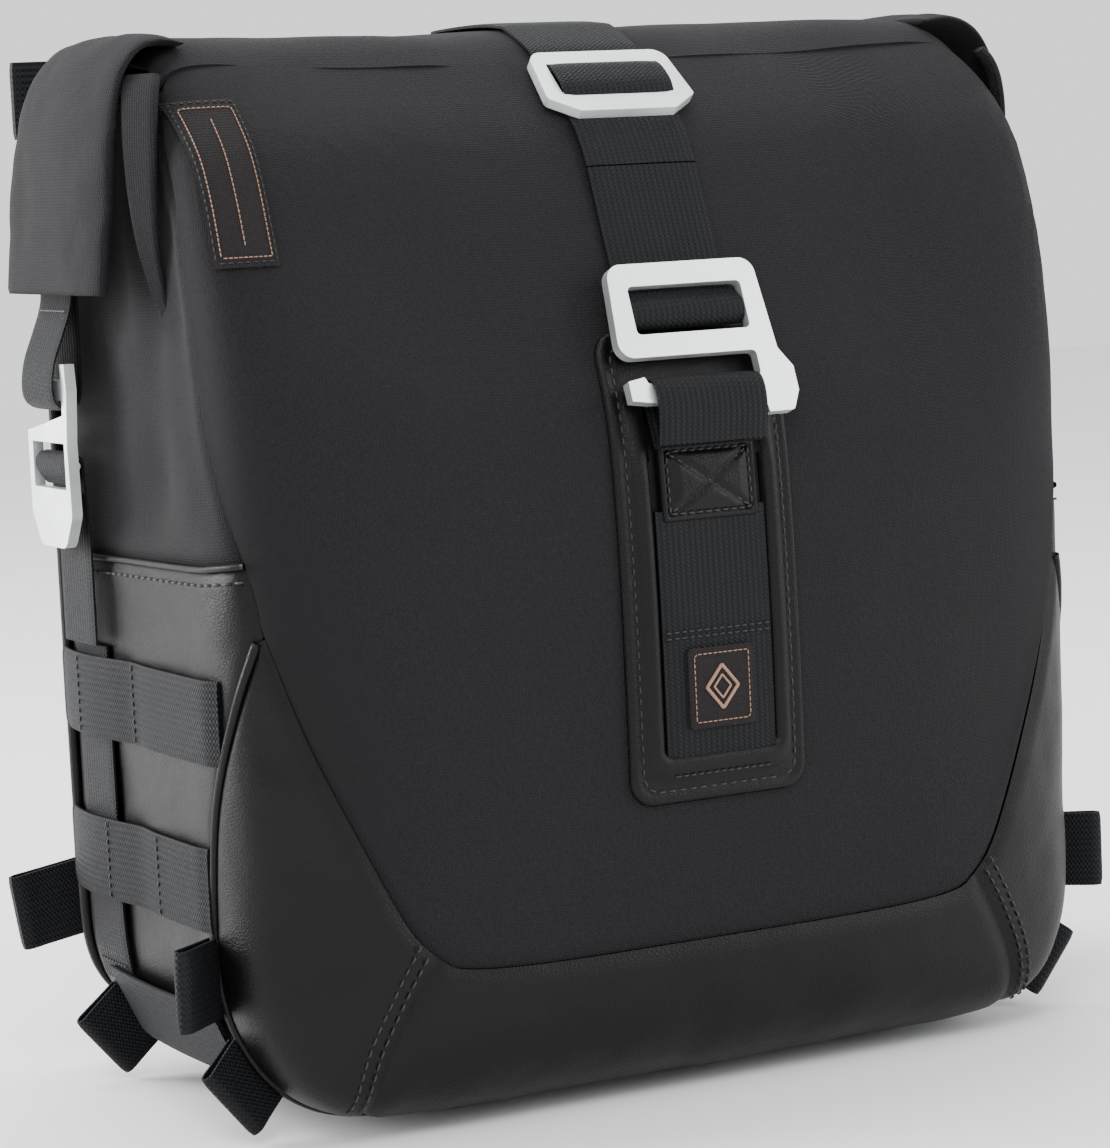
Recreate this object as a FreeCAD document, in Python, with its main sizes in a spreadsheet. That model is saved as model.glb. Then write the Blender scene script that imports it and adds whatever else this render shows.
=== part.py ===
import FreeCAD, Part
import math
import os
import re

import Sketcher
from FreeCAD import Placement, Rotation, Vector

# Roll-top side pannier: canvas and synthetic leather bag with webbing, hooks and a quick-release plate.
# Millimetres. +X is the bag's right, -Y its front, +Z up.
# The origin is the middle of the footprint, on the floor.

doc = FreeCAD.newDocument("PannierBag")
sheet = doc.addObject("Spreadsheet::Sheet", "Sizes")

SIZES = {
    # bag shell
    "half_width": 150, "bag_front": 84, "bag_back": 82, "bag_top": 326, "wall": 3,
    "bottom_corner": 58, "front_toe": 28, "rear_heel": 45,
    "ridge_y": -47, "ridge_z": 287, "top_front_y": -4, "belly_y": -78, "belly_z": 205,
    "mouth_back_z": 322, "mouth_front_z": 309, "mouth_gap": 0.4,
    "leather_side_z": 168, "back_tray_y": 68, "base_half": 92,
    "canvas_low_half": 88, "canvas_low_z": 48, "canvas_high_z": 158,
    "liner_inset": 3.5, "liner_wall": 1.5, "liner_top": 288, "hem_wall": 1.6, "hem_top": 305,
    "board_thick": 3, "board_half": 118, "board_low": 60, "board_high": 270,
    "base_board_half": 84, "base_board_front": 48, "base_board_back": 28, "base_board_z": 5.4,
    # webbing
    "webbing_gap": 0.4, "strap_thick": 1.8, "strap_half": 19, "side_webbing": 25,
    "side_strap_y": 42, "side_strap_low": 36, "side_strap_split": 142,
    "row_thick": 1.9, "row_stand": 2.7, "row_front": 56, "row_back": 62, "row_tab": 6,
    "row_one_z": 126, "row_two_z": 76, "row_three_front": 34, "row_three_back": 50,
    "row_three_low": 12, "row_three_high": 33,
    # loops sewn into the seams
    "lash_thick": 1.5, "lash_gap": 3, "lash_width": 24,
    # front patch
    "patch_half": 30.5, "patch_low": 91, "patch_high": 231, "patch_base": 1.2, "patch_rim": 2.6,
    "rim_half": 22.5, "window_half": 19.2, "window_low": 106, "window_high": 172.5,
    "tack_panel_half": 16.5, "tack_panel_low": 174.5, "tack_panel_high": 197,
    "emblem_half": 11, "emblem_low": 113, "label_left": -142, "label_width": 18, "label_low": 256,
    "label_high": 303, "badge_thick": 0.8,
    # front hook, in the plane of the upper front slope
    "hook_z": 234, "hook_plate": 3.6, "hook_stand": 5.5, "slot_half": 19.4, "slot_rise": 7.5,
    "hook_side": 7.6, "hook_bar": 7, "hook_drop": 34, "hook_bump": 4,
    "catch_bar_top": 22.5, "catch_bar_low": 28.5, "pivot_bar": 1.5, "pivot_play": 0.3,
    "strap_reach": 48, "edge_round": 0.8, "hook_corner": 5,
    # strap adjuster, in the plane of the ridge
    "adjuster_place": 21, "adjuster_half": 25.5, "adjuster_rise": 13.5, "adjuster_plate": 3.2,
    "adjuster_stand": 2.8, "adjuster_slot": 6.5, "adjuster_chamfer": 6,
    # side hooks
    "side_hook_z": 197, "side_hook_half": 16.5, "side_slot_half": 13, "side_slot_rise": 7,
    "side_hook_stand": 5, "side_hook_plate": 3.4, "side_pivot_bar": 1.4, "side_plate_low": 25,
    "side_plate_half": 10, "side_bar_low": 20, "side_bar_high": 26, "side_prong": 31,
    # rolled closure
    "flap_inner": 153.4, "flap_thick": 8, "flap_front": 14, "flap_back": 66, "flap_low": 250,
    "roll_half": 138, "roll_front": 3, "roll_back": 62, "roll_low": 312, "roll_high": 321,
    "stay_half": 130, "stay_thick": 1.4, "stay_width": 26, "stay_play": 0.4,
    # quick-release plate on the back
    "plate_half": 90, "plate_low": 66, "plate_high": 276, "plate_thick": 9, "plate_corner": 12,
    "keyhole_head": 8, "keyhole_neck": 4, "keyhole_rise": 18, "keyhole_side": 58,
    "keyhole_high": 232, "keyhole_low": 112, "screw_side": 76, "screw_high": 262, "screw_low": 80,
    "screw_shank": 2.5, "screw_play": 0.2, "screw_head": 4.5, "head_deep": 3.4, "screw_end": 68,
    "nut_high": 3.5, "nut_half": 4.4, "latch_z": 120.5, "bolt_tip": -4, "bolt_end": 97,
    "bolt_half": 2, "bolt_play": 0.3, "pocket_left": 20, "pocket_right": 60, "pocket_rise": 7,
    "pocket_floor": 1, "lid_thick": 1.8, "lid_lip": 3, "collar_half": 2.9, "collar_left": 32,
    "collar_right": 34, "spring_half": 2.5, "spring_wire": 0.35, "spring_turns": 6,
    "knob_long": 8, "knob_deep": 7, "knob_high": 24,
}

for row, (alias, number) in enumerate(SIZES.items(), start=1):
    sheet.set(f"A{row}", alias)
    sheet.set(f"B{row}", str(number))
    sheet.setAlias(f"B{row}", alias)
doc.recompute()

nodes = []


def size(alias):
    return float(sheet.get(alias))


def bound(text):
    """An expression on the sheet's cells, written with their bare aliases."""
    return re.sub(r"[a-z][a-z_]{2,}", lambda word: "Sizes." + word.group(0), text)


def keep(thing):
    nodes.append(thing)
    return thing


def feature(label, shape, place=None):
    """A document object that holds a shape made by code."""
    thing = doc.addObject("Part::Feature", label)
    thing.Label = label
    thing.Shape = shape
    if place is not None:
        thing.Placement = place
    return thing


def common(label, *things):
    thing = doc.addObject("Part::MultiCommon", label)
    thing.Label = label
    thing.Shapes = list(things)
    return thing


def cut(label, base, tool):
    thing = doc.addObject("Part::Cut", label)
    thing.Label = label
    thing.Base = base
    thing.Tool = tool
    return thing


def box(label, low, high):
    """A Part box between two corners, each a triple of sheet expressions."""
    thing = doc.addObject("Part::Box", label)
    thing.Label = label
    for side, axis, a, b in zip(("Length", "Width", "Height"), "xyz", low, high):
        thing.setExpression(side, bound(f"({b}) - ({a})"))
        thing.setExpression(f"Placement.Base.{axis}", bound(a))
    return thing


# ---------------------------------------------------------------- outlines and prisms

ALONG = {"x": Vector(1, 0, 0), "y": Vector(0, 1, 0), "z": Vector(0, 0, 1)}


def on_plane(normal, u, v):
    """The point (u, v) of the plane through the origin with this normal axis."""
    if normal == "x":
        return Vector(0, u, v)
    if normal == "y":
        return Vector(u, 0, v)
    return Vector(u, v, 0)


def outline(normal, corners):
    """A closed wire through corners (u, v, radius), each rounded by its radius."""
    ends = []
    edges = []
    count = len(corners)
    for i, (u, v, radius) in enumerate(corners):
        corner = on_plane(normal, u, v)
        before = on_plane(normal, *corners[i - 1][:2]) - corner
        after = on_plane(normal, *corners[(i + 1) % count][:2]) - corner
        if not radius:
            ends.append((corner, corner))
            continue
        half = before.getAngle(after) / 2
        reach = radius / math.tan(half)
        before.normalize()
        after.normalize()
        middle = before + after
        middle.normalize()
        first = corner + before * reach
        last = corner + after * reach
        top = corner + middle * (radius / math.sin(half) - radius)
        edges.append((i, Part.Arc(first, top, last).toShape()))
        ends.append((first, last))
    arcs = dict(edges)
    loop = []
    for i in range(count):
        if i in arcs:
            loop.append(arcs[i])
        start = ends[i][1]
        stop = ends[(i + 1) % count][0]
        if start.distanceToPoint(stop) > 1e-4:
            loop.append(Part.LineSegment(start, stop).toShape())
    return Part.Wire(loop)


def prism(normal, corners, start, stop, offset=0):
    """A rounded outline, grown by an offset and extruded along its plane's normal."""
    face = Part.Face(outline(normal, corners))
    if offset:
        face = face.makeOffset2D(offset)
    face.translate(ALONG[normal] * start)
    return face.extrude(ALONG[normal] * (stop - start))


def sharp(points):
    return [(u, v, 0) for u, v in points]


HALF = size("half_width")
FRONT = -size("bag_front")
BACK = size("bag_back")
TOP = size("bag_top")
RIDGE = (size("ridge_y"), size("ridge_z"))
BELLY = (size("belly_y"), size("belly_z"))
CREST = (size("top_front_y"), TOP)
FAR = 2 * HALF

SIDE_OUTLINE = [
    (FRONT + 2, 0, size("front_toe")),
    (FRONT, 140, 120),
    (*BELLY, 60),
    (*RIDGE, 10),
    (*CREST, 20),
    (BACK - 18, TOP, 18),
    (BACK, 290, 18),
    (BACK, 0, size("rear_heel")),
]
FRONT_OUTLINE = [
    (-HALF, 0, size("bottom_corner")),
    (HALF, 0, size("bottom_corner")),
    (HALF, 250, 80),
    (HALF - 5, TOP, 12),
    (5 - HALF, TOP, 12),
    (-HALF, 250, 80),
]
PLAN_OUTLINE = [
    (-HALF, -62, 16),
    (-86, FRONT, 90),
    (86, FRONT, 90),
    (HALF, -62, 16),
    (HALF, BACK, 14),
    (-HALF, BACK, 14),
]


def bag_solid(inset):
    """The bag's closed form, smaller by an inset all round."""
    side = prism("x", SIDE_OUTLINE, -FAR, FAR, -inset)
    face = prism("y", FRONT_OUTLINE, -FAR, FAR, -inset)
    plan = prism("z", PLAN_OUTLINE, -FAR, 2 * FAR, -inset)
    return side.common(face).common(plan)


def side_band(near, far, half):
    """A band that follows the side outline from one offset to another, over a width."""
    outer = prism("x", SIDE_OUTLINE, -half, half, far)
    inner = prism("x", SIDE_OUTLINE, -half - 1, half + 1, near)
    return outer.cut(inner)


def mouth_z(y):
    """Height of the plane where the rolled closure meets the bag."""
    share = (BACK - y) / (BACK - RIDGE[0])
    return size("mouth_back_z") + share * (size("mouth_front_z") - size("mouth_back_z"))


def below_mouth(drop):
    ends = [(-FAR, mouth_z(-FAR) - drop), (FAR, mouth_z(FAR) - drop)]
    return prism("x", sharp([(-FAR, -FAR), (FAR, -FAR), ends[1], ends[0]]), -FAR, FAR)


def above_mouth(rise):
    ends = [(-FAR, mouth_z(-FAR) + rise), (FAR, mouth_z(FAR) + rise)]
    return prism("x", sharp([ends[0], ends[1], (FAR, 2 * FAR), (-FAR, 2 * FAR)]), -FAR, FAR)


# ---------------------------------------------------------------- shell panels

bag_outer = feature("bag_outer", bag_solid(0))
bag_inner = feature("bag_inner", bag_solid(size("wall")))
bag_shell = cut("bag_shell", bag_outer, bag_inner)
tub_zone = feature("tub_zone", below_mouth(0))
lid_zone = feature("lid_zone", above_mouth(size("mouth_gap")))

SEAM_LINE = [(-40, -10), (-37, 70), (-60, 135), (-62, 175), (-44, 240), (-30, 275), (-10, 330)]
front_zone = feature("front_zone", prism("x", sharp([(-FAR, 330), (-FAR, -10)] + SEAM_LINE), -FAR, FAR))
behind_seam = feature("behind_seam", prism("x", sharp(SEAM_LINE + [(FAR, 330), (FAR, -10)]), -FAR, FAR))
back_zone = box("back_zone", ("-400", "back_tray_y", "-50"), ("400", "400", "500"))
ahead_of_back = box("ahead_of_back", ("-400", "-400", "-50"), ("400", "back_tray_y", "500"))
left_zone = box("left_zone", ("-400", "-400", "-50"), ("-base_half", "400", "500"))
right_zone = box("right_zone", ("base_half", "-400", "-50"), ("400", "400", "500"))
base_zone = box("base_zone", ("-base_half", "-400", "-50"), ("base_half", "400", "150"))
leather_zone = box("leather_zone", ("-400", "-400", "-50"), ("400", "400", "leather_side_z"))
canvas_zone = box("canvas_zone", ("-400", "-400", "leather_side_z"), ("400", "400", "500"))

low_half = size("canvas_low_half")
low_z = size("canvas_low_z")
U_LINE = [(-FAR, size("canvas_high_z")), (-HALF, size("canvas_high_z")), (-low_half - 14, low_z + 7),
          (-low_half, low_z), (low_half, low_z), (low_half + 14, low_z + 7),
          (HALF, size("canvas_high_z")), (FAR, size("canvas_high_z"))]
above_u = sharp(U_LINE + [(FAR, 400), (-FAR, 400)])
below_u = sharp(U_LINE[::-1] + [(-FAR, -60), (FAR, -60)])
front_cloth_zone = feature("front_cloth_zone", prism("y", above_u, -FAR, 0))
front_hide_zone = feature("front_hide_zone", prism("y", below_u, -FAR, 0))
MITRE = [(low_half + 8, low_z + 8), (low_half + 108, low_z - 92)]
toe_zone = feature("toe_zone", prism("y", sharp([(-x, z) for x, z in MITRE] + MITRE[::-1]), -FAR, 0))
left_cheek_zone = feature("left_cheek_zone", prism(
    "y", sharp([(-MITRE[0][0], FAR), (-MITRE[0][0], MITRE[0][1]), (-MITRE[1][0], MITRE[1][1]),
                (-2 * FAR, MITRE[1][1]), (-2 * FAR, FAR)]), -FAR, 0))
right_cheek_zone = feature("right_cheek_zone", prism(
    "y", sharp([(MITRE[0][0], FAR), MITRE[0], MITRE[1], (2 * FAR, MITRE[1][1]), (2 * FAR, FAR)]), -FAR, 0))

keep(common("front_canvas", bag_shell, tub_zone, front_zone, front_cloth_zone))
keep(common("front_leather_bottom", bag_shell, tub_zone, front_zone, front_hide_zone, toe_zone))
keep(common("front_leather_left", bag_shell, tub_zone, front_zone, front_hide_zone, left_cheek_zone))
keep(common("front_leather_right", bag_shell, tub_zone, front_zone, front_hide_zone, right_cheek_zone))
for side, zone in (("left", left_zone), ("right", right_zone)):
    gusset = (bag_shell, tub_zone, behind_seam, ahead_of_back, zone)
    keep(common(f"gusset_canvas_{side}", *gusset, canvas_zone))
    keep(common(f"gusset_leather_{side}", *gusset, leather_zone))
keep(common("base_panel", bag_shell, tub_zone, behind_seam, ahead_of_back, base_zone))
keep(common("top_canvas", bag_shell, lid_zone))

# ---------------------------------------------------------------- back, liner and stiffeners

SCREWS = [(sx * size("screw_side"), z) for z in (size("screw_low"), size("screw_high")) for sx in (-1, 1)]


def rods(radius, start, stop):
    """One round bar at each plate screw, from one depth to another."""
    bars = []
    for x, z in SCREWS:
        bars.append(Part.makeCylinder(radius, stop - start, Vector(x, start, z), Vector(0, 1, 0)))
    return bars


hole_radius = size("screw_shank") + size("screw_play")
screw_holes = feature("screw_holes", Part.makeCompound(rods(hole_radius, 40, 120)))
back_blank = common("back_blank", bag_shell, tub_zone, back_zone)
keep(cut("back_panel", back_blank, screw_holes))

inset = size("liner_inset")
liner_top = prism("z", sharp([(-FAR, -FAR), (FAR, -FAR), (FAR, FAR), (-FAR, FAR)]), -50, size("liner_top"))
liner_outer = feature("liner_outer", bag_solid(inset).common(liner_top))
liner_inner = feature("liner_inner", bag_solid(inset + size("liner_wall")))
liner_blank = cut("liner_blank", liner_outer, liner_inner)
keep(cut("inner_liner", liner_blank, screw_holes))

hem_zone = box("hem_zone", ("-400", "-400", "liner_top + mouth_gap"), ("400", "400", "hem_top"))
hem_outer = feature("hem_outer", bag_solid(inset))
hem_inner = feature("hem_inner", bag_solid(inset + size("hem_wall")))
hem_blank = cut("hem_blank", hem_outer, hem_inner)
keep(common("mouth_hem", hem_blank, hem_zone))


def sketch_on(body, role, name):
    """A new sketch on one of the body's own origin planes."""
    sketch = body.newObject("Sketcher::SketchObject", name)
    plane = [item for item in body.Origin.OriginFeatures if item.Role == role][0]
    sketch.AttachmentSupport = [(plane, "")]
    sketch.MapMode = "FlatFace"
    return sketch


def add_polygon(sketch, corners):
    """A closed polygon whose corners are pairs of sheet expressions."""
    start = sketch.GeometryCount
    turns = [2 * math.pi * i / len(corners) for i in range(len(corners))]
    rough = [Vector(10 * math.cos(turn), 10 * math.sin(turn), 0) for turn in turns]
    for i in range(len(corners)):
        sketch.addGeometry(Part.LineSegment(rough[i], rough[(i + 1) % len(corners)]), False)
    for i in range(len(corners)):
        following = start + (i + 1) % len(corners)
        sketch.addConstraint(Sketcher.Constraint("Coincident", start + i, 2, following, 1))
    for i, pair in enumerate(corners):
        for kind, text in zip(("DistanceX", "DistanceY"), pair):
            place = sketch.addConstraint(Sketcher.Constraint(kind, -1, 1, start + i, 1, 1.0))
            sketch.setExpression(f"Constraints[{place}]", bound(text))


def add_circle(sketch, u, v, radius):
    place = sketch.addGeometry(Part.Circle(Vector(0, 0, 0), Vector(0, 0, 1), 1), False)
    for kind, text in zip(("DistanceX", "DistanceY"), (u, v)):
        fixed = sketch.addConstraint(Sketcher.Constraint(kind, -1, 1, place, 3, 1.0))
        sketch.setExpression(f"Constraints[{fixed}]", bound(text))
    fixed = sketch.addConstraint(Sketcher.Constraint("Radius", place, 1.0))
    sketch.setExpression(f"Constraints[{fixed}]", bound(radius))


def pad(body, sketch, length, start=None):
    """Pads a sketch along its normal, from the sketch plane or from an offset."""
    thing = body.newObject("PartDesign::Pad", sketch.Name + "_pad")
    thing.Profile = sketch
    thing.setExpression("Length", bound(length))
    if start is not None:
        sketch.setExpression("AttachmentOffset.Base.z", bound(start))
    return thing


def pocket(body, sketch, length, name):
    """Pockets a sketch downwards, and proves that it removed material."""
    doc.recompute()
    before = body.Shape.Volume
    thing = body.newObject("PartDesign::Pocket", name)
    thing.Profile = sketch
    thing.setExpression("Length", bound(length))
    doc.recompute()
    if body.Shape.Volume >= before - 0.01:
        raise ValueError(f"{name} cut nothing")
    return thing


def upright_edges(shape, spots, tolerance=0.05):
    """Names of the straight edges along local Z that stand on the given points."""
    names = []
    for i, edge in enumerate(shape.Edges, start=1):
        first, last = edge.Vertexes[0].Point, edge.Vertexes[-1].Point
        if abs(first.z - last.z) < 0.1 or math.hypot(first.x - last.x, first.y - last.y) > tolerance:
            continue
        if any(math.hypot(first.x - u, first.y - v) < tolerance for u, v in spots):
            names.append(f"Edge{i}")
    return names


def round_edges(body, names, radius):
    base = body.Tip
    thing = body.newObject("PartDesign::Fillet", base.Name + "_round")
    thing.Base = (base, names)
    thing.setExpression("Radius", bound(radius))
    doc.recompute()
    return thing


def plate(label, corners, thick, place=None, holes=()):
    """A flat body: one polygon, with polygon holes, padded to a thickness."""
    body = doc.addObject("PartDesign::Body", label)
    body.Label = label
    sketch = sketch_on(body, "XY_Plane", label + "_outline")
    add_polygon(sketch, corners)
    for hole in holes:
        add_polygon(sketch, hole)
    pad(body, sketch, thick)
    if place is not None:
        body.Placement = place
    doc.recompute()
    return body


def rectangle(u0, v0, u1, v1):
    return [(u0, v0), (u1, v0), (u1, v1), (u0, v1)]


def standing(y):
    """Placement of a plate drawn in X and Z, whose thickness runs from y towards -Y."""
    return Placement(Vector(0, y, 0), Rotation(Vector(1, 0, 0), 90))


board_back = BACK - inset - size("liner_wall") - 0.4
back_board = plate("back_board", rectangle("-board_half", "board_low", "board_half", "board_high"),
                   "board_thick", standing(board_back))
for sx in ("-", ""):
    for level in ("screw_low", "screw_high"):
        hole_sketch = sketch_on(back_board, "XY_Plane", f"board_hole_{level}_{'left' if sx else 'right'}")
        add_circle(hole_sketch, f"{sx}screw_side", level, "screw_shank + screw_play")
        hole_sketch.setExpression("AttachmentOffset.Base.z", bound("board_thick"))
        pocket(back_board, hole_sketch, "board_thick + 1", hole_sketch.Name + "_cut")
keep(back_board)

base_board = plate("base_board", rectangle("-base_board_half", "-base_board_front", "base_board_half",
                                           "base_board_back"), "board_thick")
base_board.setExpression("Placement.Base.z", bound("base_board_z"))
keep(base_board)

# ---------------------------------------------------------------- quick-release plate

plate_back = BACK + 0.3 + size("plate_thick")
mounting_plate = plate("mounting_plate", rectangle("-plate_half", "plate_low", "plate_half", "plate_high"),
                       "plate_thick", standing(plate_back))
corners = [(x, z) for x in (-size("plate_half"), size("plate_half"))
           for z in (size("plate_low"), size("plate_high"))]
round_edges(mounting_plate, upright_edges(mounting_plate.Shape.copy().transformed(
    mounting_plate.Placement.inverse().toMatrix()), corners), "plate_corner")

KEYHOLES = {"left": ("-keyhole_side", "keyhole_high"), "right": ("keyhole_side", "keyhole_high"),
            "middle": ("0", "keyhole_low")}
for name, (x, z) in KEYHOLES.items():
    for shape_name in ("head", "neck", "end"):
        keyhole = sketch_on(mounting_plate, "XY_Plane", f"keyhole_{name}_{shape_name}")
        keyhole.setExpression("AttachmentOffset.Base.z", bound("plate_thick"))
        if shape_name == "head":
            add_circle(keyhole, x, z, "keyhole_head")
        elif shape_name == "neck":
            neck = rectangle(f"{x} - keyhole_neck", z, f"{x} + keyhole_neck", f"{z} + keyhole_rise")
            add_polygon(keyhole, neck)
        else:
            add_circle(keyhole, x, f"{z} + keyhole_rise", "keyhole_neck")
        pocket(mounting_plate, keyhole, "plate_thick + 1", keyhole.Name + "_cut")
for sx in ("-", ""):
    for level in ("screw_low", "screw_high"):
        for part, radius, depth in (("shank", "screw_shank + screw_play", "plate_thick + 1"),
                                    ("head", "screw_head + 2 * screw_play", "head_deep + screw_play")):
            side = "left" if sx else "right"
            hole_sketch = sketch_on(mounting_plate, "XY_Plane", f"plate_{part}_{level}_{side}")
            add_circle(hole_sketch, f"{sx}screw_side", level, radius)
            # the counterbore opens on the outer face, which is the sketch plane
            top = "plate_thick" if part == "shank" else depth
            hole_sketch.setExpression("AttachmentOffset.Base.z", bound(top))
            pocket(mounting_plate, hole_sketch, depth, hole_sketch.Name + "_cut")
room = sketch_on(mounting_plate, "XY_Plane", "latch_room")
add_polygon(room, rectangle("pocket_left", "latch_z - pocket_rise",
                            "pocket_right", "latch_z + pocket_rise"))
room.setExpression("AttachmentOffset.Base.z", bound("plate_thick - pocket_floor"))
pocket(mounting_plate, room, "plate_thick - pocket_floor", "latch_room_cut")
ledge = sketch_on(mounting_plate, "XY_Plane", "latch_ledge")
add_polygon(ledge, rectangle("pocket_left - lid_lip", "latch_z - pocket_rise - lid_lip",
                             "pocket_right + lid_lip", "latch_z + pocket_rise + lid_lip"))
ledge.setExpression("AttachmentOffset.Base.z", bound("lid_thick"))
pocket(mounting_plate, ledge, "lid_thick", "latch_ledge_cut")

# the bolt lies midway between the pocket's floor and its lid
latch_y = plate_back - (size("lid_thick") + size("plate_thick") - size("pocket_floor")) / 2
latch_z = size("latch_z")


def latch_bar(radius, start, stop):
    return Part.makeCylinder(radius, stop - start, Vector(start, latch_y, latch_z), Vector(1, 0, 0))


bolt_way = feature("bolt_way", latch_bar(size("bolt_half") + size("bolt_play"), 1, 1 + size("plate_half")))
mounting_plate.Label = "mounting_plate_blank"
drilled_plate = cut("mounting_plate", mounting_plate, bolt_way)
drilled_plate.Label = "mounting_plate"
keep(drilled_plate)
lid_play = 0.2
latch_cover = plate("latch_cover", rectangle(
    f"pocket_left - lid_lip + {lid_play}", f"latch_z - pocket_rise - lid_lip + {lid_play}",
    f"pocket_right + lid_lip - {lid_play}", f"latch_z + pocket_rise + lid_lip - {lid_play}"),
    "lid_thick", standing(plate_back))
keep(latch_cover)

bolt = latch_bar(size("bolt_half"), size("bolt_tip"), size("bolt_end"))
collar = latch_bar(size("collar_half"), size("collar_left"), size("collar_right"))
keep(feature("latch_bolt", bolt.fuse(collar).removeSplitter()))
knob_start = size("plate_half") + 1.5
knob_corner = Vector(knob_start, latch_y - size("knob_deep") / 2, latch_z - size("knob_high") / 2)
knob = Part.makeBox(size("knob_long"), size("knob_deep"), size("knob_high"), knob_corner)
knob = knob.makeFillet(1.6, knob.Edges)
knob = knob.cut(latch_bar(size("bolt_half"), knob_start - 1, size("bolt_end")))
keep(feature("latch_knob", knob))

spring_start = size("collar_right") + 0.4
spring_length = size("pocket_right") - 0.4 - spring_start
latch_spring = doc.addObject("PartDesign::Body", "latch_spring")
wire_sketch = sketch_on(latch_spring, "XZ_Plane", "spring_wire_section")
add_circle(wire_sketch, "spring_half", "0", "spring_wire")
coil = latch_spring.newObject("PartDesign::AdditiveHelix", "spring_coil")
coil.Profile = wire_sketch
coil.ReferenceAxis = (wire_sketch, ["V_Axis"])
coil.Mode = "pitch-height-angle"
coil.Pitch = spring_length / size("spring_turns")
coil.Height = spring_length
latch_spring.Placement = Placement(Vector(spring_start, latch_y, latch_z), Rotation(Vector(0, 1, 0), 90))
keep(latch_spring)

heads = rods(size("screw_head"), plate_back - size("head_deep"), plate_back - 0.3)
shanks = rods(size("screw_shank"), size("screw_end"), plate_back - size("head_deep") + 0.01)
sockets = rods(1.5, plate_back - 2.2, plate_back + 1)
screws = [shank.fuse(head).cut(socket).removeSplitter()
          for shank, head, socket in zip(shanks, heads, sockets)]
keep(feature("plate_screws", Part.makeCompound(screws)))
nut_face = board_back - size("board_thick") - 0.2
nuts = []
for x, z in SCREWS:
    ring = [Vector(x + size("nut_half") * math.cos(math.radians(60 * i)), nut_face - size("nut_high"),
                   z + size("nut_half") * math.sin(math.radians(60 * i))) for i in range(6)]
    hexagon = Part.Face(Part.makePolygon(ring + ring[:1])).extrude(Vector(0, size("nut_high"), 0))
    bore = Part.makeCylinder(size("screw_shank"), 40, Vector(x, nut_face - 20, z), Vector(0, 1, 0))
    nuts.append(hexagon.cut(bore))
keep(feature("plate_nuts", Part.makeCompound(nuts)))

# ---------------------------------------------------------------- front patch and trim

gap = size("webbing_gap")
thick = size("strap_thick")


def front_zone_box(half, low, high):
    return Part.makeBox(2 * half, FAR, high - low, Vector(-half, -FAR, low))


def front_trim(near, far, half, low, high):
    """A flat piece that follows the front face, between two heights."""
    return side_band(near, far, half).common(front_zone_box(half, low, high))


patch_top = gap + size("patch_base")
rim_top = patch_top + size("patch_rim")
base = front_trim(gap, patch_top, size("patch_half"), size("patch_low"), size("patch_high"))
rim = front_trim(patch_top, rim_top, size("rim_half"), size("patch_low") + 8, size("tack_panel_high") - 1)
window = front_zone_box(size("window_half"), size("window_low"), size("window_high"))
tack_room = front_zone_box(size("tack_panel_half") + 0.3, size("window_high") - 1,
                           size("tack_panel_high") + 1)
keep(feature("leather_patch", base.fuse(rim.cut(window).cut(tack_room)).removeSplitter()))
layer_play = 0.1
web_near = patch_top + layer_play
web_far = web_near + thick
keep(feature("patch_webbing", front_trim(web_near, web_far, size("window_half") - gap,
                                         size("window_low") + gap, size("window_high") - gap)))
keep(feature("tack_panel", front_trim(web_near, rim_top + 0.3, size("tack_panel_half"),
                                      size("tack_panel_low"), size("tack_panel_high"))))
badge = size("badge_thick")
emblem_near = web_far + layer_play
emblem_high = size("emblem_low") + 2 * size("emblem_half") + 2
keep(feature("emblem_patch", front_trim(emblem_near, emblem_near + badge, size("emblem_half"),
                                        size("emblem_low"), emblem_high)))
label_band = side_band(0.2, 0.2 + badge, HALF)
label_zone = Part.makeBox(size("label_width"), FAR, size("label_high") - size("label_low"),
                          Vector(size("label_left"), -FAR, size("label_low")))
keep(feature("woven_label", label_band.common(label_zone)))

# ---------------------------------------------------------------- front strap and hook

slope = math.atan2(RIDGE[1] - BELLY[1], RIDGE[0] - BELLY[0])
share = (size("hook_z") - BELLY[1]) / (RIDGE[1] - BELLY[1])
hook_spot = Vector(0, BELLY[0] + share * (RIDGE[0] - BELLY[0]), size("hook_z"))
slope_frame = Placement(hook_spot, Rotation(Vector(1, 0, 0), math.degrees(slope)))
hook_axis = size("hook_stand")
reach = size("strap_reach")


def ribbon(points, width):
    """A webbing layer: a polygon of (along, away) points extruded over its width, in a local frame."""
    spots = [Vector(-width / 2, v, w) for v, w in points]
    return Part.Face(Part.makePolygon(spots + spots[:1])).extrude(Vector(width, 0, 0))


def webbing_eye(radius, away, layer, width):
    """The round end of a strap that is sewn about a pivot bar."""
    start = Vector(-width / 2, 0, away)
    outer = Part.makeCylinder(radius + layer, width, start, Vector(1, 0, 0))
    return outer.cut(Part.makeCylinder(radius, width, start, Vector(1, 0, 0)))


eye_radius = size("pivot_bar") + size("pivot_play")
eye_low = hook_axis - eye_radius - thick
flat_to, rise_to = 17, 8
strap = ribbon([(reach, gap), (reach, gap + thick), (flat_to, gap + thick), (rise_to, eye_low + thick),
                (0, eye_low + thick), (0, eye_low), (rise_to, eye_low), (flat_to, gap)],
               2 * size("strap_half"))
eye = webbing_eye(eye_radius, hook_axis, thick, 2 * size("strap_half"))
keep(feature("centre_strap_front", strap.fuse(eye).removeSplitter(), slope_frame))

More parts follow.
